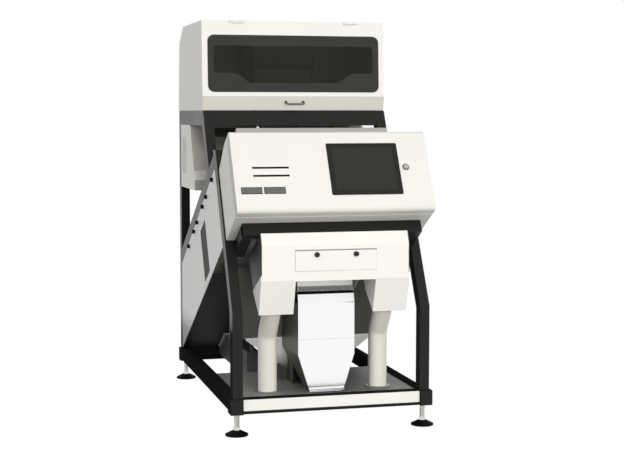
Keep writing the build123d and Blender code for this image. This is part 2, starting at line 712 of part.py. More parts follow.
# lift-up cover on the front of the hood
cover_low = FRAME_TOP + SEAM
cover_outline = [(hood_foot, cover_low), hood_fold, (hood_brow, hood_top),
                 (hood_brow + COVER_THICK, hood_top), (hood_fold[0] + COVER_THICK, hood_fold[1]),
                 (hood_foot + COVER_THICK, cover_low)]
cover = side_prism(cover_outline, across(hood_width))
hood_hinge = (hood_brow - hinge_room, hood_top - hinge_room)
hood_places = (-HOOD_HINGE_X, HOOD_HINGE_X)
tab_z = (hood_top - HOOD_SHEET, hood_top)
for x in hood_places:
    cover -= span((x - hinge_reach - SEAM, x + hinge_reach + SEAM), (hood_brow - PAST, hood_brow + PAST),
                  (tab_z[0] - SEAM, hood_top + PAST))
for x, knuckle in moving_knuckles(hood_places, hood_hinge):
    cover += knuckle + span(x, (hood_hinge[0], hood_brow + SEAM),
                            (hood_hinge[1] - KNUCKLE_DIAMETER / 2, hood_hinge[1]))
for x, knuckle in fixed_knuckles(hood_places, hood_hinge):
    hood += knuckle + span(x, (hood_hinge[0], hood_brow + cover_set + PAST), tab_z)
for bore in pin_bores(hood_places, hood_hinge):
    hood -= bore
    cover -= bore
cover_lean = Vector(hood_brow - hood_fold[0], hood_top - hood_fold[1])
ON_COVER = Pos(0, *hood_fold) * Rot(lean(cover_lean), 0, 0)
opening_z = after(OPENING_RAISE, OPENING_HEIGHT)
dip_low = OPENING_RAISE - OPENING_DIP
window_width = hood_width - 2 * WINDOW_MARGIN
opening_width = window_width - 2 * OPENING_MARGIN
half, dip_out, dip_in = [width / 2 for width in (opening_width, *OPENING_DIP_WIDTHS)]
opening_outline = [(-half, opening_z[1]), (half, opening_z[1]), (half, opening_z[0]),
                   (dip_out, opening_z[0]), (dip_in, dip_low), (-dip_in, dip_low),
                   (-dip_out, opening_z[0]), (-half, opening_z[0])]
opening = front_prism(opening_outline, (-PAST, PAST))
opening = fillet(opening.edges().filter_by(Axis.Y), OPENING_CORNER)
cover -= ON_COVER * opening
pieces["hood_shell"] = hood
pieces["hood_cover"] = cover
pieces["hinge_pins"] = group(panel_pins, *pins(hood_places, hood_hinge, PIN_DIAMETER, 0))
window_face = rounded(across(window_width), after(WINDOW_RAISE, WINDOW_HEIGHT), WINDOW_CORNER)
window = extrude(Pos(0, -WINDOW_THICK, 0) * window_face, WINDOW_THICK, dir=(0, 1, 0))
pieces["hood_window"] = ON_COVER * window

strip_run = Vector(hood_fold[0] - hood_foot, hood_fold[1] - cover_low)
handle_y = hood_foot + strip_run.X * (HANDLE_RAISE - SEAM) / strip_run.Y
ON_STRIP = Pos(0, handle_y, FRAME_TOP + HANDLE_RAISE) * Rot(lean(strip_run), 0, 0)
handle = span(across(HANDLE_LENGTH), (-HANDLE_REACH, 0), across(HANDLE_BAR))
handle -= span(across(HANDLE_LENGTH - 2 * HANDLE_BAR), (-HANDLE_REACH + HANDLE_BAR, PAST),
               across(HANDLE_BAR + PAST))
handle = fillet(handle.edges().filter_by(Axis.Z).group_by(Axis.Y)[0], HANDLE_BAR / 2)
pieces["hood_handle"] = ON_STRIP * handle

# feeder deck and vibrating feeder
deck_z = after(top_rail_low, DECK_THICK)
feeder_z = after(deck_z[1] + MOUNT_HEIGHT, FEEDER_HEIGHT)
tray_floor = feeder_z[1] + TRAY_GAP
feed_y = (hood_foot + TRAY_SET, hood_back - TRAY_REAR_GAP)
feeder_y = after(sum(feed_y) / 2 + FEEDER_SHIFT - FEEDER_LENGTH / 2, FEEDER_LENGTH)
pieces["feeder_deck"] = span(across(2 * HALF_INSIDE), (feeder_y[0] - DECK_MARGIN, REAR_POST_FRONT), deck_z)
mounts = []
for y in (feeder_y[0] + MOUNT_DIAMETER, feeder_y[1] - MOUNT_DIAMETER):
    mount_x = FEEDER_WIDTH / 2 - MOUNT_DIAMETER
    mounts.append(both_sides(rod(MOUNT_DIAMETER, (mount_x, y, deck_z[1]), (mount_x, y, feeder_z[0]))))
pieces["rubber_mounts"] = group(*mounts)
coil_y = after(sum(feeder_y) / 2 - COIL_LENGTH / 2, COIL_LENGTH)
coil_top = feeder_z[1] + TRAY_GAP / 2
pieces["feeder_base"] = group(span(across(FEEDER_WIDTH), feeder_y, feeder_z),
                              span(across(COIL_WIDTH), coil_y, (feeder_z[1], coil_top)))
feeder_tray = span(across(TRAY_WIDTH), feed_y, after(tray_floor, TRAY_WALL))
feeder_tray -= span(across(TRAY_WIDTH - 2 * SHEET), (feed_y[0] - PAST, feed_y[1] - SHEET),
                    after(tray_floor + SHEET, TRAY_WALL))
block_z = (feeder_z[1] + TRAY_BLOCK_GAP, tray_floor)
for y in (after(feeder_y[0], MOUNT_DIAMETER), (feeder_y[1] - MOUNT_DIAMETER, feeder_y[1])):
    feeder_tray += span(across(SPRING_WIDTH), y, block_z)
feeder_tray += span(across(COIL_WIDTH), coil_y, (coil_top + COIL_GAP, tray_floor))
pieces["feeder_tray"] = feeder_tray
spring_z = (feeder_z[0] + SPRING_RAISE, tray_floor - SEAM)
pieces["leaf_springs"] = group(
    span(across(SPRING_WIDTH), (feeder_y[0] - SPRING_THICK, feeder_y[0]), spring_z),
    span(across(SPRING_WIDTH), after(feeder_y[1], SPRING_THICK), spring_z))

# feed hopper with its gate
hopper_top = hood_top - HOOD_SHEET
throat_z = after(tray_floor + HOPPER_GAP, HOPPER_THROAT_HEIGHT)
hopper_middle = sum(inlet_y) / 2


def hopper_body(grow, past):
    # straight throat with a funnel on it; grown by the sheet it is the outside
    width, length = HOPPER_OUTLET_WIDTH + 2 * grow, HOPPER_OUTLET_LENGTH + 2 * grow
    low = Pos(0, hopper_middle, throat_z[1]) * Rectangle(width, length)
    high = Pos(0, hopper_middle, hopper_top) * Rectangle(INLET_SIZE + 2 * grow, INLET_SIZE + 2 * grow)
    throat_y = after(hopper_middle - length / 2, length)
    return loft([low, high]) + span(across(width), throat_y, (throat_z[0] - past, throat_z[1]))


throat_front = hopper_middle - HOPPER_OUTLET_LENGTH / 2 - SHEET
gate_y = (throat_front - SEAM - GATE_THICK, throat_front - SEAM)
guide_x = (HOPPER_OUTLET_WIDTH / 2 - GATE_GUIDE, HOPPER_OUTLET_WIDTH / 2)
guide = span(guide_x, (gate_y[0], throat_front), throat_z)
pieces["feed_hopper"] = hopper_body(SHEET, 0) - hopper_body(0, PAST) + guide + mirrored(guide)
pieces["feed_gate"] = span(across(2 * guide_x[0] - 2 * SEAM), gate_y,
                           after(tray_floor + SHEET + GATE_CLEAR, GATE_HEIGHT))

# rear optical box
optic_x = across(2 * panel_x[0] - 2 * VENT_THICK - SEAM)
optic_y = after(upper_rear_back + OPTIC_GAP, OPTIC_DEPTH)
optic_z = (BEAM_RISE - OPTIC_HEIGHT, BEAM_RISE)
optic = span(optic_x, optic_y, optic_z)
optic -= span((optic_x[0] + SHEET, optic_x[1] - SHEET), (optic_y[0] + SHEET, optic_y[1] - SHEET),
              (optic_z[0] + SHEET, optic_z[1] - SHEET))
optic -= span(sight_x, (optic_y[0] - PAST, optic_y[0] + PAST), sight_z)
for back in bolt_backs:
    for x in optic_x:
        optic -= rod(BOLT_DIAMETER + 2 * HOLE_FIT, (x - PAST, back, bolt_rise), (x + PAST, back, bolt_rise))
pieces["rear_optical_box"] = ON_SLOPE * optic

# glasses, cameras and lamps on both sides of the falling stream
front_wall = box_y[1] - SHEET
rear_wall = optic_y[0] + SHEET
glass_x = (sight_x[0] - GLASS_LAP, sight_x[1] + GLASS_LAP)
glass_z = (sight_z[0] - GLASS_LAP, sight_z[1] + GLASS_LAP)
pieces["sight_glasses"] = ON_SLOPE * group(span(glass_x, (front_wall - GLASS_THICK, front_wall), glass_z),
                                           span(glass_x, after(rear_wall, GLASS_THICK), glass_z))


def camera(face, facing, floor):
    # body with its lens towards the stream, on a foot that stands on the floor of its box
    body_y = sorted((face, face - facing * CAMERA_DEPTH))
    body_z = after(axis_rise - CAMERA_HEIGHT / 2, CAMERA_HEIGHT)
    body = span(across(CAMERA_WIDTH), body_y, body_z)
    lens = rod(LENS_DIAMETER, (0, face, axis_rise), (0, face + facing * LENS_LENGTH, axis_rise))
    foot = span(across(CAMERA_FOOT), body_y, (floor, body_z[0]))
    return body + lens + foot


pieces["cameras"] = ON_SLOPE * group(camera(front_wall - FRONT_CAMERA_SET, 1, BOX_RISE + SHEET),
                                     camera(rear_wall + REAR_CAMERA_SET, -1, optic_z[0] + SHEET))
bars = []
for bar_y in ((front_wall - LIGHT_BAR, front_wall), after(rear_wall, LIGHT_BAR)):
    for bar_z in ((glass_z[0] - LIGHT_BAR, glass_z[0]), after(glass_z[1], LIGHT_BAR)):
        bars.append(span(across(LIGHT_BAR_WIDTH), bar_y, bar_z))
pieces["light_bars"] = ON_SLOPE * group(*bars)

# product slide with a channel for each nozzle, its ties to the frame
slide_face = upper_rear_back - SLIDE_THICK
slide_z = (axis_rise + SLIDE_END, rise_at_height(slide_face, tray_floor - SLIDE_TOP_DROP))
open_z = (slide_z[0] - PAST, slide_z[1] + PAST)
slide = span(across(SLIDE_WIDTH), (slide_face - SLIDE_WALL, upper_rear_back), slide_z)
slide -= span(across(SLIDE_WIDTH - 2 * SHEET), (slide_face - SLIDE_WALL - PAST, slide_face), open_z)
channel_pitch = (SLIDE_WIDTH - 2 * SHEET) / SLIDE_CHANNELS
for index in range(SLIDE_CHANNELS):
    x = channel_pitch * (index + 0.5 - SLIDE_CHANNELS / 2)
    channel = span(across(channel_pitch - SLIDE_RIB), after(slide_face, SLIDE_CHANNEL_DEPTH), open_z)
    slide -= Pos(x, 0, 0) * channel
pieces["product_slide"] = ON_SLOPE * slide
ties = [span(across(SLIDE_PROP_WIDTH), (upper_rear_back, optic_y[0]),
             after(optic_z[1] - SLIDE_PROP_DROP, SLIDE_PROP_HEIGHT))]
for raised in SLIDE_TIE_RAISES:
    ties.append(span(across(FRAME_WIDTH), after(upper_rear_back, SLIDE_TIE_THICK),
                     after(BEAM_TOP_RISE + raised, SLIDE_TIE_WIDTH)))
pieces["slide_ties"] = ON_SLOPE * group(*ties)

# cover over the slide, above the control box
chute_cover_y = after(-CHUTE_COVER_FORWARD, CHUTE_COVER_DEPTH)
chute_cover_z = after(box_z[1] + SEAM, CHUTE_COVER_HEIGHT)
chute_cover = span(across(CHUTE_COVER_WIDTH), chute_cover_y, chute_cover_z)
chute_cover -= span(across(CHUTE_COVER_WIDTH - 2 * SHEET),
                    (chute_cover_y[0] + SHEET, chute_cover_y[1] + PAST),
                    (chute_cover_z[0] - PAST, chute_cover_z[1] - SHEET))
ear = span((CHUTE_COVER_WIDTH / 2 - SHEET, HALF_INSIDE), after(COVER_EAR_BACK, SHEET),
           after(chute_cover_z[0], COVER_EAR_HEIGHT))
pieces["chute_cover"] = ON_SLOPE * (chute_cover + ear + mirrored(ear))
bolt_y = chute_cover_y[0] + COVER_BOLT_SET
cover_bolt = rod(COVER_BOLT_HEAD, (COVER_BOLT_X, bolt_y, chute_cover_z[1]),
                 (COVER_BOLT_X, bolt_y, chute_cover_z[1] + BOLT_HEAD_HEIGHT))
cover_bolts.append(ON_SLOPE * both_sides(cover_bolt))
pieces["cover_bolts"] = group(*cover_bolts)

# air ejector: a nozzle and a valve for each channel of the slide
ejector_y = after(upper_rear_back + EJECTOR_SET, EJECTOR_DEPTH)
ejector_z = (optic_z[0] - EJECTOR_DROP - EJECTOR_HEIGHT, optic_z[0] - EJECTOR_DROP)
nozzle_tip = ejector_y[0] - NOZZLE_REACH
nozzle_rise = ejector_z[1] - NOZZLE_REACH / 2
ejector_outline = [slope_point(ejector_y[0], ejector_z[0]), slope_point(ejector_y[1], ejector_z[0]),
                   slope_point(ejector_y[1], ejector_z[1]), slope_point(nozzle_tip, ejector_z[1]),
                   slope_point(nozzle_tip, ejector_z[1] - NOZZLE_REACH)]
manifold = side_prism(ejector_outline, across(EJECTOR_WIDTH))
hanger = ON_SLOPE * span(after(EJECTOR_WIDTH / 2, HANGER_THICK), (optic_y[0], ejector_y[1]),
                         (ejector_z[0], optic_z[0]))
manifold += hanger
manifold += mirrored(hanger)
valve_pitch = EJECTOR_WIDTH / VALVES
valves = []
for index in range(VALVES):
    x = valve_pitch * (index + 0.5 - VALVES / 2)
    nozzle = rod(NOZZLE_BORE, (x, nozzle_tip - PAST, nozzle_rise), (x, ejector_y[1] + PAST, nozzle_rise))
    manifold -= ON_SLOPE * nozzle
    valves.append(Pos(x, 0, 0) * span(across(VALVE_WIDTH), after(ejector_y[1], VALVE_DEPTH),
                                      (ejector_z[1] - VALVE_HEIGHT, ejector_z[1])))
pieces["ejector_manifold"] = manifold
pieces["ejector_valves"] = ON_SLOPE * group(*valves)

# air tank on the rear rail, and the pipe from it to the ejector
tank_x = after(AIR_TANK_X - AIR_TANK_WIDTH / 2, AIR_TANK_WIDTH)
rear_middle = REAR_POST_FRONT + TUBE_DEPTH / 2
tank_y = (plate_y[1], rear_middle)
tank_z = after(rear_rail_z[1], AIR_TANK_HEIGHT)
tank = span(tank_x, tank_y, tank_z)
tank -= span((tank_x[0] + AIR_TANK_WALL, tank_x[1] - AIR_TANK_WALL),
             (tank_y[0] + AIR_TANK_WALL, tank_y[1] - AIR_TANK_END),
             (tank_z[0] + AIR_TANK_WALL, tank_z[1] - AIR_TANK_WALL))
port_height = sum(tank_z) / 2
port = rod(AIR_PORT, (AIR_TANK_X, tank_y[1] - AIR_TANK_END - PAST, port_height),
           (AIR_TANK_X, tank_y[1] + PAST, port_height))
pieces["air_tank"] = tank - port
pipe_foot = tank_y[0] + PIPE_SET
pipe_end = slope_point(sum(ejector_y) / 2, sum(ejector_z) / 2)
ejector_end = -EJECTOR_WIDTH / 2 - HANGER_THICK
pipe_path = FilletPolyline(
    (AIR_TANK_X, pipe_foot, tank_z[1]), (AIR_TANK_X, pipe_foot, tank_z[1] + PIPE_KNEES[0]),
    (ejector_end - PIPE_SIDE, chute_y[1] + PIPE_RISE_SET, tank_z[1] + PIPE_KNEES[1]),
    (ejector_end - PIPE_SIDE, *pipe_end), (ejector_end, *pipe_end), radius=PIPE_BEND)
pipe_section = Plane(origin=pipe_path @ 0, z_dir=pipe_path % 0) * Circle(PIPE_DIAMETER / 2)
pieces["air_pipe"] = sweep(pipe_section, path=pipe_path)
bay_end = (REAR_POST_FRONT - POST_SETBACK - PANEL_RISE * LEAN_SIN) / LEAN_COS - SHEET
bay_floor = ON_SLOPE * span(across(2 * panel_x[0]), (ejector_y[1] + BAY_FLOOR_GAP, bay_end),
                            after(PANEL_RISE, SHEET))
bay_floor -= span((tank_x[0] - BAY_FLOOR_CLEAR, tank_x[1] + BAY_FLOOR_CLEAR), tank_y,
                  (0, tank_z[1] + BAY_FLOOR_CLEAR))
pieces["bay_floor"] = bay_floor

# collector for rejects: a front wall with two ducts that end in the outlet tubes
collector_half = COLLECTOR_WIDTH / 2
leg_inner = collector_half - LEG_WIDTH
band_top = slope_point(cradle_y[0] - COLLECTOR_SET, cradle_z[0])
fold = (band_top[0] - COLLECTOR_BAND_RUN, band_top[1] - COLLECTOR_BAND)
floor = fold[1] - COLLECTOR_HEIGHT
mouth_top = slope_point(MOUTH_BACK, cradle_z[0])
mouth_low = (mouth_top[0] - MOUTH_LIP_RUN, mouth_top[1] - MOUTH_LIP)
body_outline = [band_top, mouth_top, mouth_low, (fold[0], floor), fold]
collector = side_prism(body_outline, across(COLLECTOR_WIDTH))
collector -= side_prism(inset(body_outline, [-PAST, -PAST, -PAST, SHEET, SHEET]),
                        across(COLLECTOR_WIDTH - 2 * SHEET))
front_sheet_y = after(fold[0], SHEET)
arch_top = floor - ARCH_DROP
leg_top = floor - LEG_SHOULDER
collector += span(across(COLLECTOR_WIDTH), front_sheet_y, (leg_top, floor + PAST))
collector += span(across(2 * leg_inner + 2 * SHEET), front_sheet_y, (arch_top, floor + PAST))
leg_low = (fold[0] + LEG_RUN, floor - LEG_DROP)
leg_back = (leg_low[0] + DUCT_RUN, leg_low[1] + DUCT_RISE)
leg_outline = [(fold[0], floor), leg_back, leg_low, (fold[0], leg_top)]
leg_block = side_prism(leg_outline, (leg_inner, collector_half))
leg_inside = inset(leg_outline, [-PAST, SHEET, SHEET, SHEET])
leg = leg_block - side_prism(leg_inside, (leg_inner + SHEET, collector_half - SHEET))
duct_middle = Vector(leg_low[0] + DUCT_RUN / 2, leg_low[1] + DUCT_RISE / 2)
duct_axis = Vector(DUCT_RISE, -DUCT_RUN).normalized()  # side-view direction in which rejects leave


def duct_point(step):
    # place on the middle line of the right-hand duct
    place = duct_middle + duct_axis * step
    return outlet_x, place.X, place.Y


leg -= rod(OUTLET_DIAMETER + 2 * HOLE_FIT, duct_point(-2 * PAST), duct_point(PAST))
collector += leg
collector += mirrored(leg)
collector += ON_SLOPE * span(across(COLLECTOR_WIDTH), (cradle_y[0] - COLLECTOR_SET + SHEET / 2,
                                                       cradle_y[0] - COLLECTOR_SET + FLANGE_REACH),
                             (cradle_z[0] - SHEET, cradle_z[0]))

# access plate on the collector, held by two knobs
access_z = after(floor + ACCESS_RAISE, ACCESS_HEIGHT)
access_y = (fold[0] - SHEET, fold[0])
knob_height = access_z[1] - KNOB_DROP
collector -= span(across(ACCESS_WIDTH - 2 * ACCESS_HOLE_MARGIN), (fold[0] - PAST, fold[0] + PAST),
                  (access_z[0] + ACCESS_HOLE_MARGIN / 2, knob_height - KNOB_DIAMETER))
access = span(across(ACCESS_WIDTH), access_y, access_z)
for side, x in (("left", -KNOB_X), ("right", KNOB_X)):
    knob_hole = rod(KNOB_SHANK + 2 * RUNNING_FIT, (x, access_y[0] - PAST, knob_height),
                    (x, access_y[1] + PAST, knob_height))
    access -= knob_hole
    collector -= knob_hole
    knob = rod(KNOB_DIAMETER, (x, access_y[0] - KNOB_LENGTH, knob_height), (x, access_y[0], knob_height))
    knob += rod(KNOB_SHANK, (x, access_y[0], knob_height),
                (x, access_y[0] + KNOB_SHANK_LENGTH, knob_height))
    pieces[side + "_access_knob"] = knob
pieces["access_plate"] = access

# sheets inside the collector that lead the rejects into the ducts
liner_x = (leg_inner + SHEET, collector_half - SHEET)
liner_outline = [mouth_low, (fold[0] + SHEET, floor), leg_back]
liner = side_prism(liner_outline, liner_x)
liner -= side_prism(inset(liner_outline, [-PAST, -PAST, SHEET]), (liner_x[0] + SHEET, liner_x[1] - SHEET))
ridge = [(-liner_x[0], arch_top + SHEET), (0, floor + RIDGE_RISE), (liner_x[0], arch_top + SHEET)]
ridge_under = [(x, z - 2 * SHEET) for x, z in reversed(ridge)]
roof = front_prism(ridge + ridge_under, (front_sheet_y[1], mouth_low[0]))
roof -= leg_block
roof -= mirrored(leg_block)
pieces["collector"] = group(collector, both_sides(liner), roof)

# outlet tubes with the flanges that stand on the base plate
bend_step = (OUTLET_BACK - duct_middle.X) / duct_axis.X
spigot_low = plate_low - OUTLET_SPIGOT
tube_path = FilletPolyline((outlet_x, OUTLET_BACK, spigot_low), duct_point(bend_step),
                           duct_point(-OUTLET_REACH), radius=OUTLET_BEND_RADIUS)
tube_bore = Circle(OUTLET_DIAMETER / 2 - OUTLET_WALL)
tube_ring = Circle(OUTLET_DIAMETER / 2) - tube_bore
outlet = sweep(Plane(origin=tube_path @ 0, z_dir=tube_path % 0) * tube_ring, path=tube_path)
flange_face = Circle(FLANGE_DIAMETER / 2) - tube_bore
outlet += extrude(Pos(outlet_x, OUTLET_BACK, PLATE_TOP) * flange_face, FLANGE_THICK)
spigot_z = (spigot_low, plate_low - SPIGOT_SHOULDER)
spigot_skin = Circle(OUTLET_DIAMETER / 2 + PAST) - Circle(SPIGOT_DIAMETER / 2)
outlet -= extrude(Pos(outlet_x, OUTLET_BACK, spigot_z[1]) * spigot_skin, -OUTLET_SPIGOT)
pieces["outlet_tubes"] = both_sides(outlet)

# chute for the good product
chute_half = CHUTE_WIDTH / 2
outlet_half = CHUTE_OUTLET_WIDTH / 2
chute_fold = PLATE_TOP + CHUTE_HEIGHT
chute_taper = PLATE_TOP + CHUTE_TAPER_HEIGHT
brow_z = after(chute_fold, CHUTE_BROW)
front_outline = [(-chute_half, chute_fold), (chute_half, chute_fold), (chute_half, chute_taper),
                 (outlet_half, PLATE_TOP), (-outlet_half, PLATE_TOP), (-chute_half, chute_taper)]
brow_front = CHUTE_FRONT + CHUTE_BROW_RUN


def chute_bend(depth):
    # bent line of the front sheet in side view, at a depth from its front face
    return FilletPolyline((brow_front + depth, brow_z[1]), (CHUTE_FRONT + depth, chute_fold),
                          (CHUTE_FRONT + depth, BASE_TOP + SHEET - depth),
                          (CHUTE_FRONT - CHUTE_LIP, BASE_TOP + SHEET - depth), radius=CHUTE_CURVE + depth)


sheet_front = chute_bend(0)
sheet_rear = chute_bend(SHEET)
sheet_ends = [Line(sheet_front @ end, sheet_rear @ end) for end in (0, 1)]
sheet_face = make_face([*sheet_front.edges(), *sheet_rear.edges(), *sheet_ends])
bent_sheet = extrude(Plane.YZ.offset(-chute_half) * sheet_face, CHUTE_WIDTH, dir=(1, 0, 0))
taper_outline = [(-chute_half, brow_z[1]), (chute_half, brow_z[1]), (chute_half, chute_taper),
                 (outlet_half, BASE_TOP), (-outlet_half, BASE_TOP), (-chute_half, chute_taper)]
pieces["chute_front"] = bent_sheet & front_prism(taper_outline, (0, chute_y[1]))
walls_y = (CHUTE_FRONT + SHEET, chute_y[1])
chute_knee = PLATE_TOP + CHUTE_KNEE
floor_outline = [(walls_y[0], chute_fold), (walls_y[1], chute_fold), (walls_y[1], chute_knee),
                 (chute_foot, PLATE_TOP), (walls_y[0], PLATE_TOP)]
chute_outside = front_prism(front_outline, walls_y) & side_prism(floor_outline, across(CHUTE_WIDTH))
chute_inside = front_prism(inset(front_outline, [-PAST, SHEET, SHEET, -PAST, SHEET, SHEET]),
                           (walls_y[0] - PAST, walls_y[1] - SHEET))
chute_inside &= side_prism(inset(floor_outline, [-PAST, SHEET, SHEET, -PAST, -PAST]), across(CHUTE_WIDTH))
leg_plate = span(after(outlet_half + CHUTE_LEG_SPREAD, SHEET),
                 after(CHUTE_FRONT + CHUTE_LEG_SET, CHUTE_LEG_DEPTH), (PLATE_TOP, chute_knee))
leg_plate -= chute_outside
pieces["chute_walls"] = chute_outside - chute_inside + leg_plate + mirrored(leg_plate)
seal_x = across(CHUTE_WIDTH - 2 * SHEET)
seal_y = after(brow_front, SEAL_DEPTH)
seal_z = after(brow_z[1], SEAL_HEIGHT)
pieces["dust_seal"] = span(seal_x, seal_y, seal_z)
funnel_z = after(chute_fold, FUNNEL_HEIGHT)
funnel_half = FUNNEL_WIDTH / 2
funnel_outline = [(-funnel_half, funnel_z[1]), (funnel_half, funnel_z[1]), (chute_half, funnel_z[0]),
                  (-chute_half, funnel_z[0])]
funnel_y = (CHUTE_FRONT + FUNNEL_SET, chute_y[1])
funnel = front_prism(funnel_outline, funnel_y)
funnel -= front_prism(inset(funnel_outline, [-PAST, SHEET, -PAST, SHEET]),
                      (funnel_y[0] - PAST, funnel_y[1] - SHEET))
seal_strip = span(seal_x, (seal_y[1] - SHEET, seal_y[1]), after(seal_z[1], STRIP_HEIGHT))
pieces["drop_funnel"] = group(funnel, seal_strip)
wall_high = slope_at_depth(ejector_z[0], chute_y[1])[1] - WALL_CLEAR
wall_low = PLATE_TOP + WALL_RAISE
wall_half = HALF_INSIDE - WALL_SIDE_GAP
skirt_half = WALL_SKIRT_WIDTH / 2
wall_outline = [(-wall_half, wall_high), (wall_half, wall_high), (wall_half, wall_low), (skirt_half, wall_low),
                (skirt_half, PLATE_TOP), (-skirt_half, PLATE_TOP), (-skirt_half, wall_low),
                (-wall_half, wall_low)]
pieces["drop_back_wall"] = front_prism(wall_outline, after(chute_y[1], SHEET))

# cabinet with the electrics, and the panel that closes it behind
cabinet_front = REAR_POST_FRONT - CABINET_DEPTH
cabinet_low = top_rail_low - CABINET_HEIGHT
cabinet_outline = [(cabinet_front, cabinet_low), (cabinet_front, cabinet_low + CABINET_KNEE),
                   (cabinet_front + CABINET_FRONT_RUN, top_rail_low), (REAR_POST_FRONT, top_rail_low),
                   (REAR_POST_FRONT, cabinet_low)]
cabinet = side_prism(cabinet_outline, across(FRAME_WIDTH))
cabinet_inside = inset(cabinet_outline, [SHEET, SHEET, SHEET, -PAST, SHEET])
cabinet -= side_prism(cabinet_inside, across(FRAME_WIDTH - 2 * SHEET))
slot_start = REAR_POST_FRONT - CABINET_VENT_MARGIN - CABINET_VENT_LENGTH
slot_pitch = CABINET_VENT_LENGTH / CABINET_VENT_SLOTS
for index in range(CABINET_VENT_SLOTS):
    y = slot_start + slot_pitch * (index + 0.5) - CABINET_VENT_SLOT / 2
    cabinet -= span((-HALF_WIDTH - PAST, -HALF_WIDTH + PAST), after(y, CABINET_VENT_SLOT),
                    after(cabinet_low + CABINET_VENT_RAISE, CABINET_VENT_HEIGHT))
pieces["electrical_cabinet"] = cabinet
modules = []
for (width, depth, height), x in ((COMPUTER_SIZE, COMPUTER_X), (SUPPLY_SIZE, SUPPLY_X)):
    rear = REAR_POST_FRONT - MODULE_GAP
    case = span(across(width), (rear - depth, rear), after(cabinet_low + SHEET, height))
    case -= span(across(width - 2 * SHEET), (rear - depth + SHEET, rear - SHEET),
                 after(cabinet_low + 2 * SHEET, height - 2 * SHEET))
    modules.append(Pos(x, 0, 0) * case)
pieces["control_modules"] = group(*modules)
pieces["rear_panel"] = span(across(2 * HALF_INSIDE), after(rear_middle, SHEET), (cabinet_low, top_rail_low))

# the origin moves to the floor under the middle of the whole machine
boxes = [shape.bounding_box() for shape in pieces.values()]
middle_y = (min(box.min.Y for box in boxes) + max(box.max.Y for box in boxes)) / 2
for name, shape in pieces.items():
    solids = [Pos(0, -middle_y, 0) * solid for solid in shape.solids()]
    export_step(solids[0] if len(solids) == 1 else Compound(solids), "parts/" + name + ".step")
print(len(pieces), "pieces, middle at", round(middle_y, 3))
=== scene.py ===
import bpy
import bmesh
import math
import random
from mathutils import Matrix, Vector


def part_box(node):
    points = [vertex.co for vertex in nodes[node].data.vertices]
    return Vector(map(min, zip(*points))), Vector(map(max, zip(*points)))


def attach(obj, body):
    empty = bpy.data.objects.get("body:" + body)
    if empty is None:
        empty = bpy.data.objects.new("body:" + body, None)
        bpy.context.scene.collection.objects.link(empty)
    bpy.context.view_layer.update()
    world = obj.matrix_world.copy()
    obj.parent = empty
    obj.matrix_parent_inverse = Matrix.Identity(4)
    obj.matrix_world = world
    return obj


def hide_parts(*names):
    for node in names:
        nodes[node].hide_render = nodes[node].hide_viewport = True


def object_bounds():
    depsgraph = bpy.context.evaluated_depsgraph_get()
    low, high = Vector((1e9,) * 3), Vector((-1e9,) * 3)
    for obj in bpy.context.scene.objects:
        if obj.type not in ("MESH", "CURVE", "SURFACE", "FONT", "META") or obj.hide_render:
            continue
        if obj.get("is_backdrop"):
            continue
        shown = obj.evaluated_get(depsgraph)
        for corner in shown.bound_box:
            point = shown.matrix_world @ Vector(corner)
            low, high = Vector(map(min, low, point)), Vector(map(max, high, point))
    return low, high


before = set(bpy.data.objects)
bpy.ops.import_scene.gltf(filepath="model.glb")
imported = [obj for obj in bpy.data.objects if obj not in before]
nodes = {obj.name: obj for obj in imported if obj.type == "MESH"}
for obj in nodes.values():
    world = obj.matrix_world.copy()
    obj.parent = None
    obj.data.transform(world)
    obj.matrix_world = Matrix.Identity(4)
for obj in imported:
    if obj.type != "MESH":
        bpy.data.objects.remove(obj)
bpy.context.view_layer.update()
scene = bpy.context.scene
scene.view_settings.view_transform = "Standard"
mm = 0.001
samePoint = {"cad": 0.01, "piece": 0.001}  # corners of a mesh closer than this, in mm, are one
print("frame loaded:", len(nodes), "nodes")


def linear(hexText):  # sRGB hex to the linear colour that shaders use
    parts = [int(hexText[i:i + 2], 16) / 255 for i in (1, 3, 5)]
    return [p / 12.92 if p <= 0.04045 else ((p + 0.055) / 1.055) ** 2.4 for p in parts] + [1.0]


def addNode(tree, kind, values=None, links=None, **settings):
    node = tree.nodes.new("ShaderNode" + kind)
    for name, value in settings.items():
        setattr(node, name, value)
    for socket, value in (values or {}).items():
        node.inputs[socket].default_value = value
    for socket, source in (links or {}).items():
        tree.links.new(source, node.inputs[socket])
    return node


def startMaterial(name, colour, level=0.5, **shaderValues):
    material = bpy.data.materials.new(name)
    material.use_nodes = True
    tree = material.node_tree
    shader = tree.nodes["Principled BSDF"]
    shader.inputs["Base Color"].default_value = linear(colour)
    shader.inputs["Specular IOR Level"].default_value = level
    for socket, value in shaderValues.items():
        shader.inputs[socket].default_value = value
    place = addNode(tree, "TexCoord").outputs["Object"]
    return material, tree, shader, place


# powder coat: baked paint with a fine orange peel, satin gloss and a slightly uneven film
# real peel is about 1 mm wide, drawn coarser so that it shows at this picture size
# the paint is a little darker where the film noise is below thinAt, and has its full colour above fullAt
coating = {"peelMm": 7, "peelHeight": 0.4, "filmMm": 250, "thinAt": 0.3, "fullAt": 0.62,
           "duller": 0.07, "glossier": 0.05}


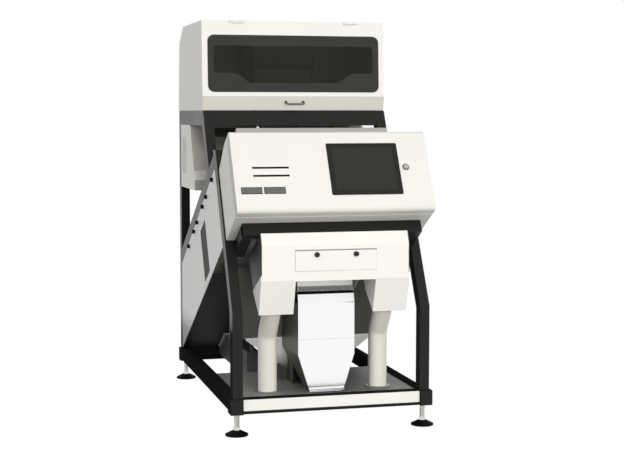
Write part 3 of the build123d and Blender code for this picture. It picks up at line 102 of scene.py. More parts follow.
def powderCoat(name, colour, rough, peel=0.10, shift=0.05, level=0.5):
    material, tree, shader, place = startMaterial(name, colour, level, Roughness=rough)
    peelScale = 1 / (coating["peelMm"] * mm)
    filmScale = 1 / (coating["filmMm"] * mm)
    peelNoise = addNode(tree, "TexNoise", {"Scale": peelScale, "Detail": 3.0}, {"Vector": place})
    film = addNode(tree, "TexNoise", {"Scale": filmScale, "Detail": 4.0}, {"Vector": place})
    tone = addNode(tree, "ValToRGB", links={"Fac": film.outputs["Fac"]})
    thin, full = tone.color_ramp.elements
    thin.color = [c * (1 - shift) for c in linear(colour)[:3]] + [1.0]
    thin.position = coating["thinAt"]
    full.color = linear(colour)
    full.position = coating["fullAt"]
    glossRange = {"To Min": rough - coating["glossier"], "To Max": rough + coating["duller"]}
    gloss = addNode(tree, "MapRange", glossRange, {"Value": film.outputs["Fac"]})
    bump = addNode(tree, "Bump", {"Strength": peel, "Distance": coating["peelHeight"] * mm},
                   {"Height": peelNoise.outputs["Fac"]})
    tree.links.new(tone.outputs["Color"], shader.inputs["Base Color"])
    tree.links.new(gloss.outputs["Result"], shader.inputs["Roughness"])
    tree.links.new(bump.outputs["Normal"], shader.inputs["Normal"])
    return material


# rolled and brushed steel sheet: fine lines along one direction, soft streaks in the gloss
# real brush lines are about 0.2 mm wide, drawn coarser so that they show at this picture size
alongX = 0
alongZ = 2
brushing = {"stretch": 60, "relief": 0.12, "depth": 0.1, "duller": 0.12, "glossier": 0.08}


def brushedSteel(name, colour, rough, alongAxis, lineMm=1.6):
    material, tree, shader, place = startMaterial(name, colour, Roughness=rough, Metallic=1.0)
    across = [1 / (lineMm * mm)] * 3
    across[alongAxis] /= brushing["stretch"]  # each brush line is that many times as long as it is wide
    lines = addNode(tree, "Mapping", {"Scale": across}, {"Vector": place})
    grain = addNode(tree, "TexNoise", {"Scale": 1.0, "Detail": 4.0}, {"Vector": lines.outputs["Vector"]})
    glossRange = {"To Min": rough - brushing["glossier"], "To Max": rough + brushing["duller"]}
    gloss = addNode(tree, "MapRange", glossRange, {"Value": grain.outputs["Fac"]})
    bump = addNode(tree, "Bump", {"Strength": brushing["relief"], "Distance": brushing["depth"] * mm},
                   {"Height": grain.outputs["Fac"]})
    tree.links.new(gloss.outputs["Result"], shader.inputs["Roughness"])
    tree.links.new(bump.outputs["Normal"], shader.inputs["Normal"])
    return material


# moulded plastic or rubber: fine spark texture and a dull, slightly patchy gloss
# real spark pits are about 0.2 mm wide, drawn coarser so that they show at this picture size
moulding = {"sparkMm": 2.5, "sparkHeight": 0.2, "patchMm": 83.333, "spread": 0.08}


def moulded(name, colour, rough, depth=0.15, level=0.4):
    material, tree, shader, place = startMaterial(name, colour, level, Roughness=rough)
    sparkScale = 1 / (moulding["sparkMm"] * mm)
    patchScale = 1 / (moulding["patchMm"] * mm)
    spark = addNode(tree, "TexNoise", {"Scale": sparkScale, "Detail": 5.0}, {"Vector": place})
    patch = addNode(tree, "TexNoise", {"Scale": patchScale, "Detail": 2.0}, {"Vector": place})
    glossRange = {"To Min": rough - moulding["spread"], "To Max": rough + moulding["spread"]}
    gloss = addNode(tree, "MapRange", glossRange, {"Value": patch.outputs["Fac"]})
    bump = addNode(tree, "Bump", {"Strength": depth, "Distance": moulding["sparkHeight"] * mm},
                   {"Height": spark.outputs["Fac"]})
    tree.links.new(gloss.outputs["Result"], shader.inputs["Roughness"])
    tree.links.new(bump.outputs["Normal"], shader.inputs["Normal"])
    return material


# glass and acrylic: smooth sheet with faint smears in the gloss, seen through by its alpha
glazing = {"smearMm": 111.111, "distortion": 0.6, "duller": 0.06}


def clearSheet(name, colour, rough, alpha, level=0.5):
    material, tree, shader, place = startMaterial(name, colour, level, Roughness=rough, Alpha=alpha)
    smearing = {"Scale": 1 / (glazing["smearMm"] * mm), "Detail": 6.0, "Distortion": glazing["distortion"]}
    smear = addNode(tree, "TexNoise", smearing, {"Vector": place})
    glossRange = {"To Min": rough, "To Max": rough + glazing["duller"]}
    gloss = addNode(tree, "MapRange", glossRange, {"Value": smear.outputs["Fac"]})
    tree.links.new(gloss.outputs["Result"], shader.inputs["Roughness"])
    return material


# light funnel below the back wall, in mm: its sheets are made further down
funnel = {"inner": 135, "outer": 269, "top": 319, "corner": 310, "fall": 0.72, "gap": 0.2, "paintOver": 0.3}

# planes where the colour of a piece changes, as paint and as painted shade: a point in metres, and the way in
# which the second colour lies
down = (0, 0, -1)
outward = (1, 0, 0)
inward = (-1, 0, 0)
forward = (0, -1, 0)
paintEdge = {
    "hoodFold": ((0, 0, 1.3150), down),  # the strip below the fold has a warmer coat
    "collectorEnd": ((0.2925, 0, 0), outward),
    "collectorShoulder": ((0, 0.6546, 0.6264), (0, -0.438, 0.899)),
    "flangeTop": ((0, 0, 0.1452), down),  # the tubes' flanges are painted like the base plate
    "fasciaFoot": ((0, 0, 0.0985), down),  # the fascia's folded foot is left in black primer
    "panelSide": ((0.3922, 0, 0), outward),  # the panel's folded edge is greyer than its face
    "cabinetFront": ((0, 0.3175, 1.1110), (0, -0.900, 0.437)),  # leaning front in painted shade, darker still between the posts
    "cabinetMiddle": ((0.335, 0, 0), inward),
    "cabinetFoot": ((0, 0.2415, 0), forward),  # upright foot of that front
    "cabinetKnee": ((0, 0, 0.950), down),
    "funnelSlant": ((funnel["outer"] * mm, 0, funnel["corner"] * mm), (-funnel["fall"], 0, 1)),
    "funnelTop": ((0, 0, (funnel["top"] + funnel["paintOver"]) * mm), down),
}


# another colour on the part of a piece that lies beyond every named plane, both sides alike
def secondColour(material, colour, *edges):
    tree = material.node_tree
    colourIn = tree.nodes["Principled BSDF"].inputs["Base Color"]
    place = addNode(tree, "TexCoord").outputs["Object"]
    bothSides = addNode(tree, "VectorMath", links={0: place}, operation="ABSOLUTE").outputs["Vector"]
    inside = None
    for point, along in [paintEdge[edge] for edge in edges]:
        offset = addNode(tree, "VectorMath", {1: point}, {0: bothSides}, operation="SUBTRACT")
        reach = addNode(tree, "VectorMath", {1: along}, {0: offset.outputs["Vector"]},
                        operation="DOT_PRODUCT")
        beyond = addNode(tree, "Math", {1: 0.0}, {0: reach.outputs["Value"]}, operation="GREATER_THAN")
        share = beyond.outputs["Value"]
        if inside is not None:
            share = addNode(tree, "Math", links={0: share, 1: inside}, operation="MULTIPLY").outputs["Value"]
        inside = share
    mix = addNode(tree, "MixRGB", {"Color2": linear(colour)}, {"Fac": inside})
    mix.inputs["Color1"].default_value = colourIn.default_value[:]
    if colourIn.is_linked:
        tree.links.new(colourIn.links[0].from_socket, mix.inputs["Color1"])
    tree.links.new(mix.outputs["Color"], colourIn)
    return material


# stretches in metres along which painted light and shade on a piece change slowly
fade = {
    "panelFoot": ("Z", 0.225, 0.36),  # painted shade: side panels darken and rear posts lose their sheen towards the foot
    # painted shade: the back wall darkens towards its foot, below the chute
    "wallFoot": ("Z", 0.18, 0.27),
    "postFoot": ("Z", 0.40, 0.49),  # painted shade: the front posts turn grey and lose their sheen below their bend
    "plateLitLeft": ("X", -0.36, 0.12),  # painted light: the plate is lighter towards its left end
}


# painted light and shade: another colour towards the low end of a named stretch, and no sheen there either
# when dull is set, as painted shade
def shadeAlong(material, colour, stretch, dull=False):
    axis, low, high = fade[stretch]
    tree = material.node_tree
    shader = tree.nodes["Principled BSDF"]
    colourIn = shader.inputs["Base Color"]
    sheenIn = shader.inputs["Specular IOR Level"]
    parts = addNode(tree, "SeparateXYZ", links={"Vector": addNode(tree, "TexCoord").outputs["Object"]})
    values = {"From Min": low, "From Max": high, "To Min": 1.0, "To Max": 0.0}
    lowEnd = addNode(tree, "MapRange", values, {"Value": parts.outputs[axis]},
                     interpolation_type="SMOOTHSTEP")
    share = lowEnd.outputs["Result"]
    mix = addNode(tree, "MixRGB", {"Color2": linear(colour)},
                  {"Fac": share, "Color1": colourIn.links[0].from_socket})
    tree.links.new(mix.outputs["Color"], colourIn)
    if dull:
        sheen = addNode(tree, "MapRange", {"To Min": sheenIn.default_value, "To Max": 0.0}, {"Value": share})
        tree.links.new(sheen.outputs["Result"], sheenIn)
    return material


def whiteCoat(name, colour="#F8F6F0"):  # paint of the covers
    return powderCoat(name, colour, 0.42, shift=0.02, level=0.4)


def blackCoat(name):  # paint of the frame
    return powderCoat(name, "#1B1B19", 0.36, peel=0.14, shift=0.12, level=0.24)


def mattBlackCoat(name, colour, rough):  # paint of the frame near the floor
    return powderCoat(name, colour, rough, peel=0.14, shift=0.12, level=0.0)


def greyCoat(name):  # paint of the feeder's base and the back wall
    return powderCoat(name, "#5E5E5B", 0.42, shift=0.10, level=0.22)


def ivoryPlastic(name, colour):  # plastic of the outlet tubes
    return moulded(name, colour, 0.32, depth=0.08, level=0.45)


finish = {
    "frame_paint": blackCoat("black powder coat"),
    "white_paint": whiteCoat("warm white powder coat"),
    "panel_grey": powderCoat("pale grey powder coat", "#F4F4F2", 0.40, shift=0.03, level=0.4),
    "dark_paint": powderCoat("dark grey powder coat", "#323231", 0.55, shift=0.08, level=0.12),
    "base_grey": greyCoat("mid grey powder coat"),
    "stainless": brushedSteel("brushed stainless sheet", "#B4B2AB", 0.34, alongX),
    "bright_steel": brushedSteel("polished zinc plated steel", "#DADAD7", 0.16, alongZ, lineMm=1.0),
    "spring_steel": brushedSteel("oiled spring steel", "#6E6E70", 0.35, alongZ),
    "dark_bolts": brushedSteel("blackened bolt steel", "#1E1E1E", 0.45, alongZ),
    "foot_rubber": moulded("black moulded rubber", "#0C0C0C", 0.60, level=0.05),
    "smoked_glass": clearSheet("smoked acrylic", "#1C1D18", 0.10, 0.57, level=0.2),
    "clear_glass": clearSheet("clear float glass", "#DDE6E4", 0.04, 0.30),
    "screen_glass": clearSheet("black printed cover glass", "#201F1C", 0.12, 1.0, level=0.2),
    "black_plastic": moulded("black moulded nylon", "#161616", 0.45),
    "outlet_plastic": ivoryPlastic("ivory moulded tube plastic", "#E5E1D7"),
    "aluminium": brushedSteel("anodised aluminium", "#C6C7C9", 0.38, alongZ),
    "tank_paint": powderCoat("dark grey tank paint", "#4E4E4D", 0.55, shift=0.10, level=0.15),
    "module_case": powderCoat("matt grey case paint", "#77787A", 0.55, shift=0.06),
}
for node in nodes.values():
    for slot in node.material_slots:
        slot.material = finish[slot.material.name.split(".")[0]]

# pieces whose sheet or paint differs from the rest of their kind, and pieces that carry painted light and
# shade
# painted shade on the cabinet's front: light grey on the leaning face, darker grey between the posts
cabinetCoat = secondColour(whiteCoat("warm white coat, grey front"), "#D3CFC7", "cabinetFront")
cabinetCoat = secondColour(cabinetCoat, "#9A978F", "cabinetFront", "cabinetMiddle")
wallCoat = secondColour(greyCoat("mid grey coat, light funnel"), "#F4F4F0", "funnelSlant", "funnelTop")
# painted shade: the side panels darken towards their foot
sideCoat = powderCoat("pale grey powder coat, darker foot", "#F6F6F4", 0.40, shift=0.03, level=0.4)
# painted light: the base plate is lighter towards its left end
plateCoat = powderCoat("scuffed mid grey powder coat", "#747471", 0.40, shift=0.14, level=0.2)
boxCoatColour = "#EFEDE7"  # painted shade: the control box is a little greyer than the covers
edgeCoat = whiteCoat("warm white coat, grey folded edge", boxCoatColour)
tubePlastic = ivoryPlastic("ivory moulded tube plastic, grey flange", "#EAE6DC")
ownFinish = {
    "side_panels": shadeAlong(sideCoat, "#626260", "panelFoot"),
    "hood_cover": secondColour(whiteCoat("warm white coat, sand coloured strip"), "#DAD6CC", "hoodFold"),
    "control_panel": secondColour(edgeCoat, "#D2D1CE", "panelSide"),
    "control_box_shell": whiteCoat("warm white box coat", boxCoatColour),
    "electrical_cabinet": secondColour(cabinetCoat, "#C2C0BB", "cabinetFoot", "cabinetKnee"),
    "collector": secondColour(whiteCoat("warm white coat, dark end plates"), "#343434",
                              "collectorEnd", "collectorShoulder"),
    "base_rails": mattBlackCoat("matt black powder coat", "#262625", 0.70),
    "corner_blocks": mattBlackCoat("matt black block coat", "#2F2F2E", 0.60),
    "front_posts": shadeAlong(blackCoat("black powder coat, matt foot"), "#2F2F2E", "postFoot", dull=True),
    "rear_posts": shadeAlong(blackCoat("black powder coat, matt below"), "#262625", "panelFoot", dull=True),
    # painted shade: the bay floor's underside, which lies in shade, is near black
    "bay_floor": powderCoat("black underseal", "#0D0D0D", 0.60, shift=0.10, level=0.10),
    "chute_walls": brushedSteel("dull stainless sheet", "#6C6B67", 0.45, alongZ),
    "drop_funnel": brushedSteel("grey pickled stainless sheet", "#E6E5DF", 0.45, alongX),
    "drop_back_wall": shadeAlong(wallCoat, "#4A4A48", "wallFoot"),
    "base_plate": shadeAlong(plateCoat, "#9E9E9A", "plateLitLeft"),
    "chute_front": brushedSteel("polished stainless sheet", "#FAFAFA", 0.20, alongZ, lineMm=1.0),
    "outlet_tubes": secondColour(tubePlastic, "#7E7E7B", "flangeTop"),
    "front_fascia": secondColour(whiteCoat("warm white coat, black foot"), "#191918", "fasciaFoot"),
    "button_bezel": brushedSteel("dark nickel plated ring", "#8F8981", 0.32, alongZ, lineMm=1.0),
    "start_button": brushedSteel("satin nickel plated cap", "#C4BFB7", 0.36, alongZ, lineMm=1.0),
}
for name, material in ownFinish.items():
    nodes[name].material_slots[0].material = material
print("materials made:", len(finish) + len(ownFinish))

# folded sheet and tube edges get a small round, so that they catch the light; widths in mm
edgeRounds = {
    "corner_blocks": 1.5, "base_rails": 2.0, "front_posts": 2.5, "upper_posts": 2.5, "rear_posts": 2.5,
    "diagonal_beams": 2.5, "top_rails": 2.0, "control_box_cradle": 2.0, "front_fascia": 0.8,
    "control_box_shell": 1.0, "control_panel": 1.0, "hood_shell": 1.2, "electrical_cabinet": 1.0,
    "side_panels": 0.8, "chute_cover": 1.0, "chute_front": 0.8, "touch_screen": 0.8, "rear_panel": 0.8,
    "base_plate": 0.8, "foot_pads": 2.5, "air_tank": 0.8,
}
rounding = {"segments": 2, "sharpFrom": 25}
for name, width in edgeRounds.items():
    weld = nodes[name].modifiers.new("joined corners", "WELD")
    weld.merge_threshold = samePoint["cad"] * mm
    soft = nodes[name].modifiers.new("rounded edges", "BEVEL")
    soft.width = width * mm
    soft.segments = rounding["segments"]
    soft.limit_method = "ANGLE"
    soft.angle_limit = math.radians(rounding["sharpFrom"])
    soft.harden_normals = True
print("edges rounded:", len(edgeRounds))


def finishPiece(name, bm, body, slotName, material=None):  # turns a bmesh into a piece that rides on a body
    bmesh.ops.remove_doubles(bm, verts=bm.verts, dist=samePoint["piece"] * mm)
    bmesh.ops.recalc_face_normals(bm, faces=bm.faces)
    mesh = bpy.data.meshes.new(name)
    bm.to_mesh(mesh)
    bm.free()
    mesh.materials.append(material or finish[slotName])
    piece = bpy.data.objects.new(name, mesh)
    scene.collection.objects.link(piece)
    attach(piece, body)
    return piece


def boxOf(name):  # low and high corner of a node, in mm
    return [[value / mm for value in corner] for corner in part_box(name)]


def roundEdges(bm, edges, radius, segments=2):
    bmesh.ops.bevel(bm, geom=edges, offset=radius * mm, offset_type="OFFSET", segments=segments, profile=0.5,
                    affect="EDGES", material=-1)


def addSlab(bm, low, high, corner=0.0, place=Matrix()):  # block between two corners in mm, edges rounded
    size = [(b - a) * mm for a, b in zip(low, high)]
    middle = [(a + b) / 2 * mm for a, b in zip(low, high)]
    moved = place @ Matrix.Translation(middle) @ Matrix.Diagonal(size + [1])
    verts = bmesh.ops.create_cube(bm, size=1.0, matrix=moved)["verts"]
    if corner:
        roundEdges(bm, list({edge for vert in verts for edge in vert.link_edges}), corner)


# rod along Z between two heights in mm, with another radius at its top if a tip is given
def addRod(bm, low, high, radius, place=Matrix(), segments=24, tip=None):
    middle = place @ Matrix.Translation((0, 0, (low + high) / 2 * mm))
    topRadius = radius if tip is None else tip
    bmesh.ops.create_cone(bm, cap_ends=True, segments=segments, radius1=radius * mm, radius2=topRadius * mm,
                          depth=(high - low) * mm, matrix=middle)


def addSheet(bm, outline, y, thick):  # upright sheet from its outline in X and Z, grown along Y, in mm
    face = bm.faces.new([bm.verts.new((x * mm, y * mm, z * mm)) for x, z in outline])
    grown = bmesh.ops.extrude_face_region(bm, geom=[face])["geom"]
    verts = [part for part in grown if isinstance(part, bmesh.types.BMVert)]
    bmesh.ops.translate(bm, verts=verts, vec=(0, thick * mm, 0))


# sloping half of the machine: back and rise are measured in mm from the bend of the front posts
slope = {"bend": (0, -0.603249, 0.482), "lean": 29, "panelFace": -264, "screenFace": -267}
onSlope = Matrix.Translation(slope["bend"]) @ Matrix.Rotation(-math.radians(slope["lean"]), 4, "X")

# print on the panel: two thin rules and two blank badges
rules = {"sides": ((-318, -174), (-317, -174)), "rises": (486, 452), "height": 8, "film": 0.3}
ink = moulded("black screen print ink", "#121212", 0.5, depth=0.05, level=0.2)
bm = bmesh.new()
for (left, right), rise in zip(rules["sides"], rules["rises"]):
    addSlab(bm, (left, slope["panelFace"] - rules["film"], rise - rules["height"] / 2),
            (right, slope["panelFace"], rise + rules["height"] / 2), place=onSlope)
finishPiece("panel_printed_rules", bm, "control_panel", "black_plastic", ink)
badges = {"sides": ((-370, -288), (-281, -197)), "low": 375, "high": 404, "plate": 1.0, "plateCorner": 0.4,
          "rim": 2.2, "film": 0.3, "filmCorner": 0.1}
badgeFilm = moulded("grey printed badge film", "#666664", 0.45, depth=0.05, level=0.3)
plates = bmesh.new()
films = bmesh.new()
plateFace = slope["panelFace"] - badges["plate"]
for left, right in badges["sides"]:
    addSlab(plates, (left, plateFace, badges["low"]), (right, slope["panelFace"], badges["high"]),
            badges["plateCorner"], onSlope)
    addSlab(films, (left + badges["rim"], plateFace - badges["film"], badges["low"] + badges["rim"]),
            (right - badges["rim"], plateFace, badges["high"] - badges["rim"]), badges["filmCorner"], onSlope)
finishPiece("panel_badge_plates", plates, "control_panel", "black_plastic", ink)
finishPiece("panel_blank_badges", films, "control_panel", "black_plastic", badgeFilm)

# lit area of the touch screen, inside its black printed border
display = {"left": 4, "right": 250, "low": 386, "high": 568, "film": 0.3, "corner": 0.12}
displayFilm = clearSheet("dark display film", "#2A2A27", 0.16, 1.0, level=0.22)
bm = bmesh.new()
addSlab(bm, (display["left"], slope["screenFace"] - display["film"], display["low"]),
        (display["right"], slope["screenFace"], display["high"]), display["corner"], onSlope)
finishPiece("screen_display", bm, "control_panel", "screen_glass", displayFilm)
print("control panel dressed")

# smoked window sheet with polished edges, on thin tape in front of the hood cover
sheet = {"fold": (0, 0.0220, 1.3150), "brow": (0, 0.0390, 1.6330), "half": 375, "raise": 17, "height": 241,
         "thick": 4, "tape": 0.3, "corner": 28, "cornerSteps": 10, "edge": 0.7}
coverRun = Vector(sheet["brow"]) - Vector(sheet["fold"])
onCover = Matrix.Translation(sheet["fold"]) @ Matrix.Rotation(-math.atan2(coverRun.y, coverRun.z), 4, "X")
bm = bmesh.new()
addSlab(bm, (-sheet["half"], -sheet["thick"], sheet["raise"]),
        (sheet["half"], -sheet["tape"], sheet["raise"] + sheet["height"]))
halfThick = (sheet["thick"] - sheet["tape"]) / 2 * mm
corners = [edge for edge in bm.edges if abs(edge.verts[0].co.y - edge.verts[1].co.y) > halfThick]
roundEdges(bm, corners, sheet["corner"], sheet["cornerSteps"])  # edges that run through the sheet
rims = [edge for edge in bm.edges if abs(edge.verts[0].co.y - edge.verts[1].co.y) < halfThick]
roundEdges(bm, rims, sheet["edge"])
bmesh.ops.transform(bm, matrix=onCover, verts=bm.verts)
windowSheet = finishPiece("hood_window_sheet", bm, "hood_cover", "smoked_glass")
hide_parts("hood_window")
print("hood window set")


def hexReach(angle, flat):  # distance from the middle of a hexagon to its side, in a direction
    return flat / math.cos((angle % math.radians(60)) - math.radians(30))


# cap screw: chamfer and rim are shares of the head's radius, the socket's depth is a share of its height
capScrew = {"segments": 36, "chamfer": 0.1, "rim": 0.2, "socketDeep": 0.55}


def addCapScrew(bm, place, radius, height, flat):  # cap screw head that stands on the XY plane, in mm
    head = bmesh.new()
    addRod(head, 0, height, radius, segments=capScrew["segments"])
    head.normal_update()
    top = max(head.faces, key=lambda f: f.calc_center_median().z)
    chamfer = capScrew["chamfer"] * radius * mm
    bmesh.ops.inset_region(head, faces=[top], thickness=chamfer, depth=chamfer)
    bmesh.ops.inset_region(head, faces=[top], thickness=capScrew["rim"] * radius * mm)
    for vert in top.verts:
        angle = math.atan2(vert.co.y, vert.co.x)
        reach = hexReach(angle, flat * mm)
        vert.co.x = reach * math.cos(angle)
        vert.co.y = reach * math.sin(angle)
    head.normal_update()
    bmesh.ops.inset_region(head, faces=[top], thickness=0.0, depth=-capScrew["socketDeep"] * height * mm)
    bmesh.ops.transform(head, matrix=place, verts=head.verts)
    headMesh = bpy.data.meshes.new("screw head")
    head.to_mesh(headMesh)
    head.free()
    bm.from_mesh(headMesh)
    bpy.data.meshes.remove(headMesh)


def solidsOf(name):  # corner points of each separate solid in a node
    bm = bmesh.new()
    bm.from_mesh(nodes[name].data)
    bmesh.ops.remove_doubles(bm, verts=bm.verts, dist=samePoint["cad"] * mm)
    left = set(bm.verts)
    found = []
    while left:
        waiting = [left.pop()]
        group = []
        while waiting:
            vert = waiting.pop()
            group.append(vert.co.copy())
            near = [edge.other_vert(vert) for edge in vert.link_edges]
            waiting += [other for other in near if other in left]
            left -= set(near)
        found.append(group)
    bm.free()
    return found


# cover bolts as cap screws with a hexagon socket, and bright dome nuts on the chute cover
bolt = {"sideFrom": 0.35, "headFrom": 0.9, "shankFrom": 0.2, "socket": 0.5, "headHigh": 11}
domeNut = {"hex": 8.1, "hexHigh": 8, "dome": 6.2, "neck": 3, "crown": 1.2, "around": 24, "rings": 12}
screws = bmesh.new()
domes = bmesh.new()
for corners in solidsOf("cover_bolts"):
    side = sum(c.x for c in corners) / len(corners)
    onSide = abs(side) > bolt["sideFrom"]
    turned = Matrix.Rotation(math.copysign(math.radians(90), side), 4, "Y") if onSide else onSlope
    local = [turned.inverted() @ c / mm for c in corners]
    lowest = [min(c[i] for c in local) for i in range(3)]
    highest = [max(c[i] for c in local) for i in range(3)]
    middle = Vector(((lowest[0] + highest[0]) / 2, (lowest[1] + highest[1]) / 2, 0))
    radius = (highest[0] - lowest[0]) / 2
    reach = [((c.xy - middle.xy).length, c.z) for c in local]
    headLow = min(z for r, z in reach if r > bolt["headFrom"] * radius)
    shank = min(r for r, z in reach if r > bolt["shankFrom"] * radius)
    seat = turned @ Matrix.Translation(middle * mm)
    if onSide:
        addRod(screws, lowest[2], headLow, shank, seat)
        headSeat = seat @ Matrix.Translation((0, 0, headLow * mm))
        addCapScrew(screws, headSeat, radius, bolt["headHigh"], bolt["socket"] * radius)
    else:
        hexTop = headLow + domeNut["hexHigh"]
        neckTop = hexTop + domeNut["neck"]
        addRod(domes, headLow, hexTop, domeNut["hex"], seat, segments=6)
        addRod(domes, hexTop, neckTop, domeNut["dome"], seat)
        dome = seat @ Matrix.Translation((0, 0, neckTop * mm)) @ Matrix.Diagonal((1, 1, domeNut["crown"], 1))
        bmesh.ops.create_uvsphere(domes, u_segments=domeNut["around"], v_segments=domeNut["rings"],
                                  radius=domeNut["dome"] * mm, matrix=dome)
capScrews = finishPiece("cover_cap_screws", screws, "frame", "dark_bolts")
finishPiece("chute_cover_dome_nuts", domes, "frame", "bright_steel")
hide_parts("cover_bolts")
print("cover bolts dressed")

# rolled thread on the levelling stems, proud of their plain core; the crest is a share of the pitch
thread = {"pitch": 2.5, "low": 33, "high": 84, "core": 9.8, "crest": 10.9, "crestFrom": 0.42, "crestTo": 0.58,
          "steps": 24}
profile = [(thread["core"], 0.0), (thread["crest"], thread["crestFrom"]),
           (thread["crest"], thread["crestTo"]), (thread["core"], 1.0)]
turns = int((thread["high"] - thread["low"]) / thread["pitch"]) - 1
for place in ("front_left", "front_right", "rear_left", "rear_right"):
    low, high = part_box("foot_stem_" + place)
    axis = Vector(((low[0] + high[0]) / 2, (low[1] + high[1]) / 2, 0))
    bm = bmesh.new()
    points = [Vector((radius, 0, thread["low"] + share * thread["pitch"])) for radius, share in profile]
    verts = [bm.verts.new(axis + point * mm) for point in points]
    edges = [bm.edges.new(pair) for pair in zip(verts, verts[1:])]
    climb = (0, 0, thread["pitch"] / thread["steps"] * mm)
    bmesh.ops.spin(bm, geom=verts + edges, cent=axis, axis=(0, 0, 1), dvec=climb,
                   angle=math.radians(360) * turns, steps=thread["steps"] * turns, use_merge=False)
    finishPiece("stem_thread_" + place, bm, "foot_stem_" + place, "bright_steel")
print("stems threaded")

# dust seal: a black foam strip on the chute, with grey bristles that hang from the sheet above it
seal = {"half": 112.5, "front": -500, "back": -484.6, "low": 530.1, "high": 539.8, "corner": 2.0}
bm = bmesh.new()
addSlab(bm, (-seal["half"], seal["front"], seal["low"]), (seal["half"], seal["back"], seal["high"]),
        seal["corner"])
foam = finishPiece("dust_seal_foam", bm, "frame", "foot_rubber")
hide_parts("dust_seal")
brush = {"back": -486.7, "thick": 3.0, "low": 555, "high": 560, "corner": 0.6, "tip": 537, "stray": 5.0,
         "tuft": 9, "step": 1.5, "margin": 2, "rows": (0.25, 0.6), "root": 0.5, "thin": 0.4, "bristle": 0.8,
         "sides": 5, "sideways": 0.6, "swing": 0.1, "lean": 0.16, "uneven": 1.5}
bristleNylon = moulded("grey nylon bristles", "#8E8E8B", 0.5, depth=0.05, level=0.3)
random.seed(4)
bm = bmesh.new()
front = brush["back"] - brush["thick"]
addSlab(bm, (-seal["half"], front, brush["low"]), (seal["half"], brush["back"], brush["high"]),
        brush["corner"])
tuftTip = 0.0
count = 0
x = -seal["half"] + brush["margin"]
while x < seal["half"] - brush["margin"]:
    if count % brush["tuft"] == 0:
        tuftTip = random.uniform(0.0, brush["stray"])
    for row in brush["rows"]:
        shiftX = random.uniform(-brush["sideways"], brush["sideways"])
        root = Vector((x + shiftX, front + brush["thick"] * row, brush["low"]))
        swing = Matrix.Rotation(random.uniform(-brush["swing"], brush["swing"]), 4, "Y")
        lean = Matrix.Rotation(random.uniform(0.0, brush["lean"]), 4, "X")
        length = brush["low"] - brush["tip"] - tuftTip - random.uniform(0.0, brush["uneven"])
        addRod(bm, -length, brush["root"], brush["thin"], Matrix.Translation(root * mm) @ swing @ lean,
               segments=brush["sides"], tip=brush["bristle"])
    x += brush["step"]
    count += 1
finishPiece("dust_seal_bristles", bm, "frame", "foot_rubber", bristleNylon)
print("dust seal brushed")

# lower lap of the chute's front sheet, laid over the upper one, with a pale grey strip along its top that
# paints the seam's shade line
lap = {"face": -508.249, "thick": 0.9, "top": 350, "taper": 288, "low": 166, "half": 114.6, "halfLow": 76.4,
       "bead": 1.4, "shadeLineCorner": 0.3}
bm = bmesh.new()
outline = [(-lap["half"], lap["top"]), (-lap["half"], lap["taper"]), (-lap["halfLow"], lap["low"]),
           (lap["halfLow"], lap["low"]), (lap["half"], lap["taper"]), (lap["half"], lap["top"])]
addSheet(bm, outline, lap["face"], -lap["thick"])
finishPiece("chute_front_lap", bm, "frame", "white_paint", ownFinish["chute_front"])
sealant = moulded("pale grey sealing bead", "#E4E4E2", 0.5, depth=0.05, level=0.3)
bm = bmesh.new()
addSlab(bm, (-lap["half"], lap["face"] - lap["thick"], lap["top"]),
        (lap["half"], lap["face"], lap["top"] + lap["bead"]), lap["shadeLineCorner"])
finishPiece("chute_lap_bead", bm, "frame", "white_paint", sealant)

# rear edge of the bay floor, folded down to the rear rail beside the air tank, near black as painted shade
bayEdge = {"left": -388, "gap": 1, "thick": 2.5, "railTop": 110, "lap": 2, "corner": 0.4}
low, high = boxOf("bay_floor")
tankLeft = boxOf("air_tank")[0][0]
bm = bmesh.new()
addSlab(bm, (bayEdge["left"], high[1] - bayEdge["thick"], bayEdge["railTop"]),
        (tankLeft - bayEdge["gap"], high[1], low[2] + bayEdge["lap"]), bayEdge["corner"])
finishPiece("bay_floor_edge", bm, "frame", "dark_paint", ownFinish["bay_floor"])

# light funnel sheets that close the corners below the back wall, and hems on its lower part
low, high = boxOf("drop_back_wall")
inner = funnel["inner"] + funnel["gap"]
innerLow = funnel["corner"] - funnel["fall"] * (funnel["outer"] - inner)
outline = [(inner, funnel["top"]), (funnel["outer"], funnel["top"]), (funnel["outer"], funnel["corner"]),
           (inner, innerLow)]
bm = bmesh.new()
for side in (-1, 1):
    addSheet(bm, [(side * x, z) for x, z in outline], low[1], high[1] - low[1])
finishPiece("funnel_side_sheets", bm, "frame", "base_grey", ownFinish["drop_back_wall"])
hem = {"width": 7, "fold": 1.5, "height": 71, "corner": 0.8}
bm = bmesh.new()
for near in (-funnel["inner"] - hem["width"], funnel["inner"]):
    addSlab(bm, (near, low[1], low[2]), (near + hem["width"], high[1] + hem["fold"], low[2] + hem["height"]),
            hem["corner"])
finishPiece("back_wall_hems", bm, "frame", "base_grey", ownFinish["drop_back_wall"])
print("chute dressed")

